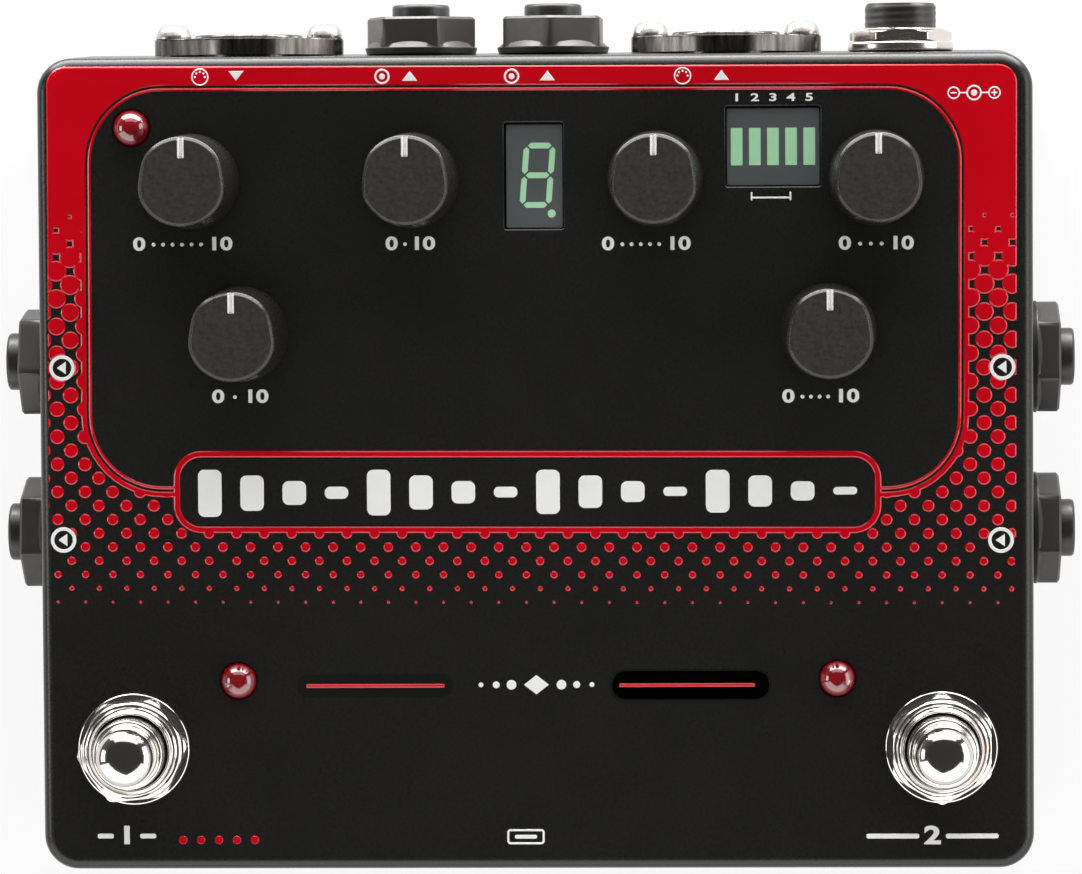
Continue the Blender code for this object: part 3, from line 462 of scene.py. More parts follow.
def flared(outline_of, bottom):
    """A cutter through the panel that leaves a rounded edge at its mouth."""
    rings = [level(outline_of(0), bottom)]
    for step in range(HOLE_STEPS + 1):
        angle = math.pi / 2 * step / HOLE_STEPS
        more = HOLE_EDGE * (1 - math.cos(angle))
        rings.append(level(outline_of(more), TOP - HOLE_EDGE * (1 - math.sin(angle))))
    rings.append(level(outline_of(HOLE_EDGE), TOP + OVERRUN))
    return loft(rings)


def window_size(node):
    low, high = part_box(node)
    return (high.x - low.x) / 2 + WINDOW_SPARE, (high.y - low.y) / 2 + WINDOW_SPARE


def round_hole(radius, depth):
    return prism(circle(radius, SMALL_ROUND), -depth, depth)


def case_holes():
    under = TOP - PANEL - OVERRUN
    holes = []
    for x, y, _ in DIALS.values():
        holes.append((prism(circle(DIAL_HOLE, SMALL_ROUND), under, TOP + OVERRUN), at(x, y)))
    for name in LAMPS:
        radius = LAMP_RADIUS + WINDOW_SPARE
        holes.append((flared(lambda more: circle(radius + more, ROUND), under), over("lamp_" + name)))
    for side in SIDES:
        holes.append((prism(circle(SWITCH_HOLE), under, TOP + OVERRUN), over("footswitch_body_" + side)))
    for node in ("digit_display", "bank_display"):
        half_x, half_y = window_size(node)
        shape = lambda more: rounded_block(half_x + more, half_y + more, WINDOW_CORNER + more, 4)
        holes.append((flared(shape, under), over(node)))
    reach = WALL + OVERRUN
    for name, (outward, _) in JACKS.items():
        holes.append((round_hole(NUT_BORE, reach), wall_place("jack_nut_" + name, outward, False)))
    for side in SIDES:
        seat = wall_place("midi_socket_" + side, BACK) @ at(0, 0, -FLANGE_THICK)
        holes.append((round_hole(DATA_HOLE, reach), seat))
        for sign in (-1, 1):
            holes.append((round_hole(SCREW_HOLE, reach), seat @ at(sign * EAR_REACH, 0)))
    holes.append((round_hole(INLET_HOLE, reach), wall_place("power_jack_washer", BACK, False)))
    slot = rounded_block(0.0077 / 2 + HOLE_SPARE, 0.0039 / 2 + HOLE_SPARE, 0.0013, 6)
    holes.append((prism(slot, -reach, reach), wall_place("usb_socket", FRONT)))
    for name in CORNERS:
        shaft = prism(circle(SCREW_HOLE, SMALL_ROUND), SEAM - OVERRUN, POST_HOLE_TOP)
        holes.append((shaft, over("base_screw_" + name)))
    return gather(holes)


def make_case():
    rings = [case_ring(0, SEAM, SEAM)]
    edge_from = TOP - CASE_EDGE
    for step in range(EDGE_STEPS + 1):
        angle = math.pi / 2 * step / EDGE_STEPS
        z = edge_from + CASE_EDGE * math.sin(angle)
        rings.append(case_ring(CASE_EDGE * (1 - math.cos(angle)), z, edge_from))
    shell = cut(loft(rings), loft([cavity_ring(SEAM - OVERRUN), cavity_ring(TOP - PANEL)]))
    add("case_shell", cut(shell, case_holes()), PAINT, stands_for=("enclosure",))


BASE_EDGE = 0.0005


def make_base():
    low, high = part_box("base_plate")
    thick = 0.0022
    outline = lambda less: rounded_block(high.x - less, high.y - less, CASE_CORNER - less)
    rings = [level(outline(BASE_EDGE), 0)]
    for step in range(1, 5):
        angle = math.pi / 2 * step / 4
        rings.append(level(outline(BASE_EDGE * (1 - math.sin(angle))), BASE_EDGE * (1 - math.cos(angle))))
    lip = rounded_block(HALF_WIDTH - POST_INSET - POST_RADIUS - HOLE_SPARE, HALF_DEPTH - WALL - 0.0004, 0.0020)
    rings += [level(outline(0), thick), level(lip, thick), level(lip, high.z)]
    seats = []
    profile = softened([
        (0, 0.0003), (0.0029, 0.0003, 0.0002), (0.0029, 0.0005),
        (0.0013, 0.0017), (0.0013, 0.0103), (0, 0.0103)])
    for name in CORNERS:
        place = over("base_screw_" + name)
        seat = [
            (0, -OVERRUN), (0.0032, -OVERRUN), (0.0032, 0.0008),
            (SCREW_HOLE, 0.0020), (SCREW_HOLE, 0.0060), (0, 0.0060)]
        seats.append((turned(seat, SMALL_ROUND), place))
        under = at(0, 0, 0.0003) @ Matrix.Rotation(math.pi, 4, "X")
        recess = gather([(cross_recess(), under)])
        add("base_screw_head_" + name, cut(turned(profile, SMALL_ROUND), recess), ZINC,
            place=place, stands_for=("base_screw_" + name,))
    add("base_cover", cut(loft(rings), gather(seats)), BASE_PAINT, stands_for=("base_plate",))


RECESS_WIDTH = 0.0007
RECESS_LENGTH = 0.0030
RECESS_DEPTH = 0.0009


def cross_recess():
    """A plus-shaped cutter that narrows downwards from its mouth at z = 0."""
    def outline(share):
        arm = RECESS_WIDTH / 2 * share
        end = RECESS_LENGTH / 2 * share
        return [
            (end, -arm), (end, arm), (arm, arm), (arm, end), (-arm, end), (-arm, arm),
            (-end, arm), (-end, -arm), (-arm, -arm), (-arm, -end), (arm, -end), (arm, -arm),
        ]
    return loft([level(outline(0.6), -RECESS_DEPTH), level(outline(1), 0), level(outline(1), OVERRUN)])


# Printed top: raised ink

def inside_block(p, low_x, high_x, low_y, high_y, corner):
    """How far a point lies inside a rounded rectangle."""
    across = abs(p[0] - (low_x + high_x) / 2) - (high_x - low_x) / 2 + corner
    along = abs(p[1] - (low_y + high_y) / 2) - (high_y - low_y) / 2 + corner
    return corner - math.hypot(max(across, 0), max(along, 0)) - min(max(across, along), 0)


def block_loop(low_x, high_x, low_y, high_y, corner, inset):
    half_x = (high_x - low_x) / 2 - inset
    half_y = (high_y - low_y) / 2 - inset
    outline = rounded_block(half_x, half_y, max(corner - inset, TINY))
    return moved(outline, (low_x + high_x) / 2, (low_y + high_y) / 2)


def fillet_drop(p):
    """How far the case's rounded edge lies below its top."""
    half_x = wall_outside(HALF_WIDTH, TOP - CASE_EDGE)
    half_y = wall_outside(HALF_DEPTH, TOP - CASE_EDGE)
    over = max(CASE_EDGE - inside_block(p, -half_x, half_x, -half_y, half_y, CASE_CORNER), 0)
    return CASE_EDGE - math.sqrt(CASE_EDGE ** 2 - over ** 2)


def relief(loops, depth, edge, rise, turn=0.0, lift=0.0):
    """A raised print. Its surface bends along the loops, and depth says how far inside the rim a point lies."""
    points = []
    lines = []
    for loop in loops:
        first = len(points)
        points += [Vector(p) for p in loop]
        lines += [(first + step, first + (step + 1) % len(loop)) for step in range(len(loop))]
    flat, _, triangles = geometry.delaunay_2d_cdt(points, lines, [], 0, TINY)[:3]
    bm = bmesh.new()
    kept = [t for t in triangles if depth(sum((flat[i] for i in t), Vector((0, 0))) / 3) > 0]
    ends = {i for t in kept for i in t}
    upper = {}
    lower = {}
    for i in ends:
        height = rise * min(max(depth(flat[i]) / edge, 0), 1)
        x = flat[i].x - turn * flat[i].y
        y = flat[i].y + turn * flat[i].x
        base = TOP + lift - fillet_drop((x, y))
        upper[i] = bm.verts.new((x, y, base + height))
        lower[i] = bm.verts.new((x, y, base - INK_SINK))
    sides = {(a, b) for t in kept for a, b in zip(t, t[1:] + t[:1])}
    for t in kept:
        bm.faces.new([upper[i] for i in t])
        bm.faces.new([lower[i] for i in reversed(t)])
    for a, b in sides:
        if (b, a) not in sides:
            bm.faces.new((lower[a], lower[b], upper[b], upper[a]))
    return bm


def dot_radius(y):
    for (low_y, small), (high_y, large) in zip(DOT_STOPS, DOT_STOPS[1:]):
        if y < high_y:
            return lerp(small, large, max(0, (y - low_y) / (high_y - low_y)))
    return DOT_STOPS[-1][1]


def dot_centre(column, row):
    """Dots stand in rows half a pitch apart, every other row half a pitch along."""
    return DOT_START[0] + (column + row % 2 / 2) * DOT_PITCH, DOT_START[1] + row * DOT_PITCH / 2


def askew(x, y):
    """A place on the case, in the red print's own frame."""
    return x + PRINT_TURN * y, y - PRINT_TURN * x


def red_depth(p):
    row = round((p[1] - DOT_START[1]) / (DOT_PITCH / 2))
    field = p[1] - SOLID_FROM
    for near_row in range(max(row - 1, 0), row + 2):
        column = round((p[0] - DOT_START[0]) / DOT_PITCH - near_row % 2 / 2)
        for near in (column - 1, column, column + 1):
            x, y = dot_centre(near, near_row)
            if y < DOTS_TO:
                field = max(field, dot_radius(y) - math.hypot(p[0] - x, p[1] - y))
    panel = inside_block(p, *PANEL_BLOCK)
    badge = inside_block(p, *BADGE_BLOCK)
    line_from = BAND + BAND_GAP
    red = min(BAND - panel, max(field, panel))
    red = max(red, min(panel - line_from, line_from + INNER_LINE - panel))
    red = min(BADGE_LINE - badge, max(red, badge))
    for place in MARK_PLACES:
        x, y = askew(*place)
        red = min(red, math.hypot(p[0] - x, p[1] - y) - MARK_RADIUS)
    return min(red, inside_block(p, *RED_BLOCK))


def red_loops():
    loops = []
    line_from = BAND + BAND_GAP
    for inset in (0, INK_EDGE, BAND - INK_EDGE, BAND, line_from, line_from + INK_EDGE,
                  line_from + INNER_LINE - INK_EDGE, line_from + INNER_LINE):
        loops.append(block_loop(*PANEL_BLOCK, inset))
    for inset in (0, INK_EDGE, BADGE_LINE - INK_EDGE, BADGE_LINE):
        loops.append(block_loop(*BADGE_BLOCK, inset))
    for inset in (0, INK_EDGE):
        loops.append(block_loop(*RED_BLOCK, inset))
        y = SOLID_FROM + inset
        loops.append([(x, y) for x in RED_BLOCK[:2]])
        for place in MARK_PLACES:
            loops.append(moved(circle(MARK_RADIUS + inset, SMALL_ROUND), *askew(*place)))
    flat_x = wall_outside(HALF_WIDTH, TOP - CASE_EDGE) - CASE_EDGE
    flat_y = wall_outside(HALF_DEPTH, TOP - CASE_EDGE) - CASE_EDGE
    for step in DRAPE_STEPS:
        line = rounded_block(flat_x + step, flat_y + step, CASE_CORNER - CASE_EDGE + step)
        loops.append([askew(x, y) for x, y in line])
    for row in range(2 * DOT_ROWS):
        for column in range(-1, DOT_COLUMNS + 1):
            x, y = dot_centre(column, row)
            radius = dot_radius(y)
            hidden = inside_block((x, y), *PANEL_BLOCK)
            hidden = max(hidden, inside_block((x, y), *BADGE_BLOCK))
            shown = inside_block((x, y), *RED_BLOCK)
            if y > DOTS_TO or hidden > radius + BADGE_LINE or shown < -radius:
                continue
            count = 20 if radius < 0.001 else 28
            for reach in (radius, max(radius - INK_EDGE, radius * 0.4)):
                loops.append(moved(circle(reach, count), x, y))
    return loops


# White print: small generic marks

def disc(x, y, radius):
    loops = lambda inset: [moved(circle(radius - inset, SMALL_ROUND), x, y)]
    return loops, lambda p: radius - math.hypot(p[0] - x, p[1] - y)


def ring(x, y, outer, line):
    def loops(inset):
        return [moved(circle(r, SMALL_ROUND), x, y) for r in (outer - inset, outer - line + inset)]
    return loops, lambda p: line / 2 - abs(math.hypot(p[0] - x, p[1] - y) - outer + line / 2)


def bar(x, y, half_x, half_y, corner):
    sides = (x - half_x, x + half_x, y - half_y, y + half_y, corner)
    return lambda inset: [block_loop(*sides, inset)], lambda p: inside_block(p, *sides)


def frame_of(x, y, half_x, half_y, corner, line):
    sides = (x - half_x, x + half_x, y - half_y, y + half_y, corner)
    loops = lambda inset: [block_loop(*sides, inset), block_loop(*sides, line - inset)]
    return loops, lambda p: line / 2 - abs(inside_block(p, *sides) - line / 2)


def polygon(corners):
    """A convex print with straight sides, its corners given counter-clockwise."""
    def depth(p):
        nearest = math.inf
        for (ax, ay), (bx, by) in zip(corners, corners[1:] + corners[:1]):
            length = math.hypot(bx - ax, by - ay)
            nearest = min(nearest, ((bx - ax) * (p[1] - ay) - (by - ay) * (p[0] - ax)) / length)
        return nearest

    def loops(inset):
        centre = sum((Vector(c) for c in corners), Vector((0, 0))) / len(corners)
        room = depth(centre)
        return [[tuple(centre.lerp(Vector(c), 1 - inset / room)) for c in corners]]
    return loops, depth


def triangle(x, y, half_base, height, turn):
    corners = [(-half_base, -height / 2), (half_base, -height / 2), (0, height / 2)]
    turn_by = Matrix.Rotation(turn, 2)
    return polygon([tuple(turn_by @ Vector(c) + Vector((x, y))) for c in corners])


def print_marks(name, shapes, surface, rise=WHITE_RISE, edge=WHITE_EDGE, lift=0.0):
    loops = [loop for outline, _ in shapes for inset in (0, edge) for loop in outline(inset)]
    depth = lambda p: max(inside(p) for _, inside in shapes)
    add(name, relief(loops, depth, edge, rise, lift=lift), surface, sharp=INK_SHARP)


def numeral(text, x, y, height, stretch=1.35, bold=0.05):
    """A printed number, centred on its place."""
    curve = bpy.data.curves.new("number", "FONT")
    curve.body = text
    curve.size = height / 0.7
    curve.align_x = "CENTER"
    curve.align_y = "CENTER"
    curve.extrude = (WHITE_RISE + INK_SINK) / 2
    curve.offset = bold * height
    made = bpy.data.objects.new("number", curve)
    bpy.context.scene.collection.objects.link(made)
    bpy.context.view_layer.update()
    shape = made.evaluated_get(bpy.context.evaluated_depsgraph_get()).to_mesh()
    bm = bmesh.new()
    bm.from_mesh(shape)
    bpy.data.objects.remove(made)
    bmesh.ops.remove_doubles(bm, verts=bm.verts, dist=TINY * 10)
    place = at(x, y, TOP + (WHITE_RISE - INK_SINK) / 2) @ Matrix.Diagonal((stretch, 1, 1, 1))
    return bm, place


LABEL_HEIGHT = 0.0018
ECHOES = 16
ECHO_INSET = 0.0052
ECHO_HALF = 0.0017
ECHO_REACH = 0.0034
ECHO_CORNER = 0.0009
DIAL_LABELS = {
    "rear_left": (-0.05069, 0.03179, 0.0138),
    "rear_inner": (-0.01790, 0.03167, 0.0066),
    "selector": (0.01599, 0.03147, 0.0122),
    "rear_right": (0.04891, 0.03135, 0.0102),
    "front_left": (-0.04259, 0.00980, 0.0076),
    "front_right": (0.04089, 0.00947, 0.0105),
}
ARROWS = (
    (-0.04260, 0.05593, math.pi), (-0.01763, 0.05575, 0.0), (0.00214, 0.05568, 0.0), (0.02705, 0.05557, 0.0),
)


def socket_icon(x, y):
    """A ring with five dots in a half circle."""
    shapes = [ring(x, y, 0.00125, 0.0002)]
    for pin in range(5):
        angle = math.pi * pin / 4
        shapes.append(disc(x + 0.00072 * math.cos(angle), y + 0.00072 * math.sin(angle), 0.00015))
    return shapes


def plug_icon(x, y):
    return [ring(x, y, 0.0011, 0.00028), disc(x, y, 0.00042)]


def polarity_icon(x, y):
    """Ring with a plus, half ring round a dot, ring with a minus, joined by a line."""
    out = 0.0029
    shapes = [ring(x - out, y, 0.0009, 0.0002), ring(x + out, y, 0.0009, 0.0002), ring(x, y, 0.0011, 0.00024)]
    shapes.append(disc(x, y, 0.00045))
    for along, half_x, half_y in (
            (-0.00155, 0.0005, 0.0001), (0.00155, 0.0005, 0.0001),
            (-out, 0.00045, 0.0001), (out, 0.00045, 0.0001), (out, 0.0001, 0.00045)):
        shapes.append(bar(x + along, y, half_x, half_y, 0.00009))
    return shapes


def make_print():
    red = relief(red_loops(), red_depth, INK_EDGE, INK_RISE, turn=PRINT_TURN)
    add("red_print", red, RED, sharp=INK_SHARP)
    white = []
    for x, y in MARK_PLACES:
        white += [ring(x, y, MARK_RADIUS, MARK_LINE), triangle(x - 0.0001, y, 0.0009, 0.0013, math.pi / 2)]
    over_red = [triangle(x, y, 0.0011, 0.0014, turn) for x, y, turn in ARROWS]
    over_red += socket_icon(-0.0478, 0.0558) + plug_icon(-0.0216, 0.0557) + plug_icon(-0.0030, 0.0556)
    over_red += socket_icon(0.0215, 0.0555) + polarity_icon(0.0631, 0.0528)
    print_marks("white_print_on_red", over_red, WHITE, lift=INK_RISE)
    numbers = []
    for x, y, width in DIAL_LABELS.values():
        numbers.append(numeral("0", x - width / 2 + 0.0008, y, LABEL_HEIGHT))
        numbers.append(numeral("10", x + width / 2 - 0.0013, y, LABEL_HEIGHT))
        dots = max(1, round((width - 0.0056) / 0.0014))
        for dot in range(dots):
            share = (dot + 0.5) / dots
            white.append(disc(lerp(x - width / 2 + 0.0022, x + width / 2 - 0.0034, share), y, 0.00028))
    for step in range(5):
        numbers.append(numeral(str(step + 1), 0.02923 + step * 0.00259, 0.0523, 0.00108, 1.65, 0.03))
    white += [bar(0.03407, 0.0380, 0.0029, 0.00012, 0.0001), bar(0.0313, 0.0382, 0.00012, 0.0006, 0.0001),
              bar(0.03685, 0.0382, 0.00012, 0.0006, 0.0001)]
    for text, x, y, width in (("1", -0.05943, -0.0537, 0.0085), ("2", 0.05689, -0.0539, 0.0190)):
        numbers.append(numeral(text, x, y, 0.0025))
        length = (width / 2 - 0.0019) / 2
        for sign in (-1, 1):
            white.append(bar(x + sign * (width / 2 - length), y, length, 0.00035, 0.0003))
    port = (-0.00165, -0.0539)
    white += [frame_of(*port, 0.0027, 0.0011, 0.0005, 0.0003), bar(*port, 0.0016, 0.00028, 0.00025)]
    left, right, front, rear, _ = BADGE_BLOCK
    white += [polygon([(-0.0018, -0.0319), (0, -0.0333), (0.0018, -0.0319), (0, -0.0305)])]
    for step, radius in enumerate((0.0007, 0.0005, 0.00035)):
        for sign in (-1, 1):
            white.append(disc(sign * (0.0036 + 0.0022 * step), -0.0319, radius))
    for step in range(ECHOES):
        share = step / (ECHOES - 1)
        fade = 1 - 0.72 * (step % 4) / 3 - 0.12 * share
        x = lerp(left + ECHO_INSET, right - ECHO_INSET, share)
        half_y = ECHO_REACH * fade
        white.append(bar(x, (front + rear) / 2, ECHO_HALF, half_y, min(ECHO_CORNER, half_y * 0.9)))
    print_marks("white_print", white, WHITE)
    add("white_numbers", gather(numbers), WHITE)
    red_dots = [disc(-0.04608 + (step - 2) * 0.0026, -0.0543, 0.0006) for step in range(5)]
    print_marks("red_dots", red_dots, RED)
    for name, x, half, ground_x, ground, high in (
            ("left", -0.02324, 0.01000, -0.0233, 0.0109, 0.0014),
            ("right", 0.02169, 0.0098, 0.0222, 0.0113, 0.00205)):
        # A soft black patch round each red line, darker than the panel, with a deeper black core round the
        # right one.
        soft = bar(ground_x, -0.0320, ground + 0.0003, high + 0.0003, high * 0.95)
        print_marks("line_halo_" + name, [soft], SOFT_BLACK, rise=0.00001, edge=0.00004)
        if name == "right":
            deep = bar(ground_x, -0.0320, ground, high, high * 0.95)
            print_marks("line_ground_" + name, [deep], DEEP_BLACK, rise=0.00002, edge=0.00004)
        print_marks("line_" + name, [bar(x, -0.0320, half, 0.0003, 0.00015)], RED, rise=0.00012, edge=0.00022)


# Knobs, shafts and pots

KNOB_RADIUS = 0.0069
KNOB_TOP_RADIUS = 0.0064
KNOB_SKIRT = 0.0025
KNOB_SKIRT_RADIUS = 0.0067
KNOB_HEIGHT = 0.0145
KNOB_EDGE = 0.0005
KNOB_FLOAT = 0.0008
GRIP_DEPTH = 0.00040
GRIP_TURN = math.radians(9)
GRIP_SPREAD = math.radians(21)
KNOB_FLAT = 0.95
POINTER_WIDTH = 0.00095
POINTER_LENGTH = 0.0031
POINTER_DEPTH = 0.0004


def knob_outline(radius, grip_depth):
    points = []
    for x, y in circle(radius):
        angle = math.atan2(y, x)
        dip = 0.0
        for grip in (GRIP_TURN, math.pi - GRIP_TURN):
            away = math.remainder(angle - grip, FULL_TURN)
            dip += grip_depth * math.exp(-((away / GRIP_SPREAD) ** 2))
        share = 1 - dip / radius
        points.append((x * share, y * share))
    return points


def knob_mesh():
    bottom = KNOB_FLOAT
    top = KNOB_FLOAT + KNOB_HEIGHT
    bore = [(x, min(y, 0.0019)) for x, y in circle(0.0033)]
    mouth = circle(0.0048)
    rings = [level(bore, top - 0.0032), level(bore, 0.0020), level(mouth, 0.0020), level(mouth, bottom)]
    wall_top = top - KNOB_EDGE
    for radius, z in softened([
            (KNOB_RADIUS, bottom, 0.0002), (KNOB_SKIRT_RADIUS, bottom + KNOB_SKIRT, 0.0006),
            (KNOB_TOP_RADIUS, wall_top, 0.0002), (KNOB_TOP_RADIUS - KNOB_EDGE, top, 0.00015),
            (KNOB_TOP_RADIUS - 2 * KNOB_EDGE, top)])[:-1]:
        share = min(max((z - bottom - KNOB_SKIRT) / (wall_top - bottom - KNOB_SKIRT), 0), 1)
        rings.append(level(knob_outline(radius, GRIP_DEPTH * share), z))
    end = KNOB_RADIUS + OVERRUN
    start = KNOB_TOP_RADIUS - POINTER_LENGTH
    slot = moved(rounded_block(POINTER_WIDTH / 2, (end - start) / 2, 0.0002, 4), 0, (end + start) / 2)
    return cut(loft(rings), prism(slot, top - POINTER_DEPTH, top + OVERRUN))


def pointer_mesh():
    """A white inlay with a shallow channel along it, in the knob's groove."""
    top = KNOB_FLOAT + KNOB_HEIGHT
    half = POINTER_WIDTH / 2 + 0.00002
    floor = top - POINTER_DEPTH - 0.00005
    section = [(-half, floor), (half, floor), (half, top - 0.00003), (half * 0.62, top - 0.00003),
               (half * 0.4, top - 0.00022), (-half * 0.4, top - 0.00022), (-half * 0.62, top - 0.00003),
               (-half, top - 0.00003)]
    start = KNOB_TOP_RADIUS - POINTER_LENGTH - 0.00005
    end = KNOB_TOP_RADIUS - KNOB_EDGE * 0.35
    return loft([[(x, y, z) for x, z in section] for y in (start, end)])


def make_controls():
    knob = knob_mesh()
    pointer = pointer_mesh()
    for name, place in DIALS.items():
        body = "dial_" + name
        made = add(
            "dial_knob_" + name, knob.copy(), SHADED_KNOB_WALL, body, at(*place), ("knob_" + name,))
        # Only the upward faces of the top take the lighter knob plastic; the darker walls and bevel are painted
        # shade.
        made.data.materials.append(KNOB)
        for face in made.data.polygons:
            if face.normal.z > KNOB_FLAT and face.center.z > KNOB_HEIGHT:
                face.material_index = 1
        add("pointer_" + name, pointer.copy(), POINTER, body, at(*place))
        dress("shaft_" + name, SHAFT)
        dress(("encoder_" if name == "selector" else "pot_") + name, HOUSING)


def dress(node, surface):
    """Gives a carried-over node its finish."""
    piece = frame["nodes"][node]
    piece.data.materials.clear()
    piece.data.materials.append(surface)


# Displays

def slab(low_x, high_x, low_y, high_y, bottom, top, edge):
    half_x = (high_x - low_x) / 2
    half_y = (high_y - low_y) / 2
    centre = ((low_x + high_x) / 2, (low_y + high_y) / 2)
    outline = lambda less: moved(rounded_block(half_x - less, half_y - less, WINDOW_CORNER, 4), *centre)
    return loft([level(outline(0), bottom), level(outline(0), top - edge), level(outline(edge), top)])


SEGMENT_HALF = 0.00042
SEGMENT_RISE = 0.00005


def segment(x, y, half, upright, slant, centre_y):
    """One bar of a seven-segment digit: pointed at both ends, leaning with the digit."""
    tip = SEGMENT_HALF
    points = [
        (-half, 0), (-half + tip, -tip), (half - tip, -tip), (half, 0), (half - tip, tip), (-half + tip, tip)]
    if upright:
        points = [(-b, a) for a, b in points]
    placed = [(x + a, y + b) for a, b in points]
    return [(a + (b - centre_y) * slant, b) for a, b in placed]


def make_displays():
    low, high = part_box("digit_display")
    face_top = high.z
    add("digit_housing", slab(low.x, high.x, low.y, high.y, low.z, face_top - 0.0001, 0.0002), DISPLAY,
        stands_for=("digit_display",))
    add("digit_face", slab(low.x + 0.0002, high.x, low.y + 0.00005, high.y - 0.0002,
                           face_top - 0.0003, face_top, 0.00005), FACE)
    x = 0.00063
    y = 0.04141
    slant = math.tan(math.radians(4.6))
    wide = 0.00188
    tall = 0.00425
    bars = []
    for place_y in (-tall, 0, tall):
        bars.append(segment(x, y + place_y, wide - 0.00018, False, slant, y))
    for place_x in (-wide, wide):
        for place_y in (-tall / 2, tall / 2):
            bars.append(segment(x + place_x, y + place_y, tall / 2 - 0.00018, True, slant, y))
    shapes = [(prism(points, face_top - 0.0001, face_top + SEGMENT_RISE), at(0, 0)) for points in bars]
    point = prism(circle(0.00058, SMALL_ROUND), face_top - 0.0001, face_top + SEGMENT_RISE)
    shapes.append((point, at(0.00262, 0.03591)))
    add("digit_segments", gather(shapes), GLOW)

    low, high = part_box("bank_display")
    add("bank_housing", slab(low.x, high.x, low.y, high.y, low.z, high.z - 0.0001, 0.0002), DISPLAY,
        stands_for=("bank_display",))
    add("bank_face", slab(low.x + 0.0001, high.x, low.y + 0.00005, high.y - 0.0002,
                          high.z - 0.0003, high.z, 0.00005), FACE)
    bars = []
    for step in range(5):
        shape = prism(rounded_block(0.00084, 0.00268, 0.0001, 3), high.z - 0.0001, high.z + SEGMENT_RISE)
        bars.append((shape, at(0.02919 + step * 0.002595, 0.04532)))
    add("bank_bars", gather(bars), GLOW)


# Lamps

def make_lamps():
    for name in LAMPS:
        node = "lamp_" + name
        low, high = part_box(node)
        place = over(node)
        radius = LAMP_RADIUS
        bottom = high.z - 0.0086
        profile = softened([
            (0, bottom), (0.0029, bottom, 0.0001), (0.0029, bottom + 0.001, 0.0001), (radius, bottom + 0.001)])
        for step in range(DOME_STEPS):
            angle = math.pi / 2 * step / DOME_STEPS
            profile.append((radius * math.cos(angle), high.z - radius + radius * math.sin(angle)))
        profile.append((0, high.z))
        add("lens_" + name, turned(profile), LENS, place=place, stands_for=(node,))
        leg = rounded_block(0.00025, 0.00025, 0.00005, 2)
        legs = gather([(prism(leg, low.z, bottom + 0.0003), at(sign * 0.00127, 0)) for sign in (-1, 1)])
        add("legs_" + name, legs, STEEL, place=place)


# Footswitches

def nut_rings(flats, bore, bottom, height, turn, crown_share, slope, edge=0.0003):
    """A hexagonal nut whose outer face is cut by a cone from the crown outwards, with a countersunk bore."""
    crown = flats / 2 * crown_share
    slope = math.tan(slope)
    sides = hexagon(flats, turn)
    top = bottom + height
    rim = [(x, y, top - (math.hypot(x, y) - crown) * slope) for x, y in sides]
    foot = [(x, y, bottom + max(0, math.hypot(x, y) - flats / 2) * 0.3) for x, y in sides]
    return [
        level(circle(bore + edge, ROUND, turn), bottom), foot, rim, level(circle(crown, ROUND, turn), top),
        level(circle(bore + edge, ROUND, turn), top), level(circle(bore, ROUND, turn), top - edge),
        level(circle(bore, ROUND, turn), bottom),
    ]


def flanged_nut_rings(flats, bore, seat, top, turn, flange, edge=0.00035):
    """A hexagonal nut on a cone-shaped flange, with a small even chamfer round its outer face."""
    sides = hexagon(flats, turn, blunt=0.99)
    face = hexagon(flats - 2 * edge, turn, blunt=0.99)
    rim, high = flange
    slope = (high - rim) / (FLANGE_RADIUS - flats / 2)
    foot = [(x, y, high - (math.hypot(x, y) - flats / 2) * slope) for x, y in sides]
    rings = [level(circle(r, ROUND, turn), z) for r, z in softened([
        (bore, seat), (FLANGE_RADIUS - 0.0003, seat), (FLANGE_RADIUS, rim, 0.0003)])]
    return rings + [
        foot, level(sides, top - edge), level(face, top),
        level(circle(bore + edge, ROUND, turn), top), level(circle(bore, ROUND, turn), top - edge),
    ]


def make_switches():
    for side in SIDES:
        place = over("footswitch_body_" + side, TOP)
        can_top = -PANEL - 0.0003
        can_bottom = can_top - 0.0130
        above = 0.0056
        rings = round_rings([(0.0079, can_bottom), (0.0079, can_top, 0.0004), (0.0060, can_top)])
        rings += thread_rings(0.0061, can_top + 0.0002, above - 0.0005, THREAD_PITCH, 0.0003)
        rings += round_rings([
            (0.0060, above - 0.0003, 0.0001), (0.0057, above, 0.0001), (0.00545, above - 0.00005, 0.00005),
            (0.0054, can_bottom + 0.0020)])
        add("switch_body_" + side, loft(rings), TURNED_NICKEL, place=place,
            stands_for=("footswitch_body_" + side,))

        washer = softened([(0.0064, 0), (0.0081, 0, 0.0002), (0.0081, 0.0012, 0.0004), (0.0064, 0.0012)])
        add("switch_washer_" + side, turned(washer, closed=True), NICKEL, place=place,
            stands_for=("footswitch_washer_" + side,))
        nut = nut_rings(0.0140, 0.0062, 0.0012, 0.0035, SWITCH_NUT_TURNS[side], 0.91, math.radians(31), 0.0001)
        add("switch_nut_" + side, loft(nut, closed=True), TURNED_NICKEL, place=place,
            stands_for=("footswitch_nut_" + side,))

        profile = softened([
            (0, -PANEL - 0.0050), (0.0051, -PANEL - 0.0050, 0.0003), (0.0051, 0.0092, 0.0006), (0.0042, 0.0095),
            (0, 0.0095),
        ])
        add("stomp_stem_" + side, turned(profile), TURNED_NICKEL, "stomp_" + side, place)
        profile = softened([
            (0, 0.0094), (0.0044, 0.0094, 0.0001), (0.0044, 0.0097, 0.0002),
            (0.0042, 0.0100), (0.0042, 0.0121)])
        for step in range(DOME_STEPS):
            angle = math.pi / 2 * step / DOME_STEPS
            profile.append((0.0041 * math.cos(angle), 0.0153 - 0.0024 * (1 - math.sin(angle))))
        profile.append((0, 0.0153))
        add("stomp_button_" + side, turned(profile), NICKEL, "stomp_" + side, place,
            ("footswitch_plunger_" + side,))


# Jacks and sockets, each built along its own outward Z

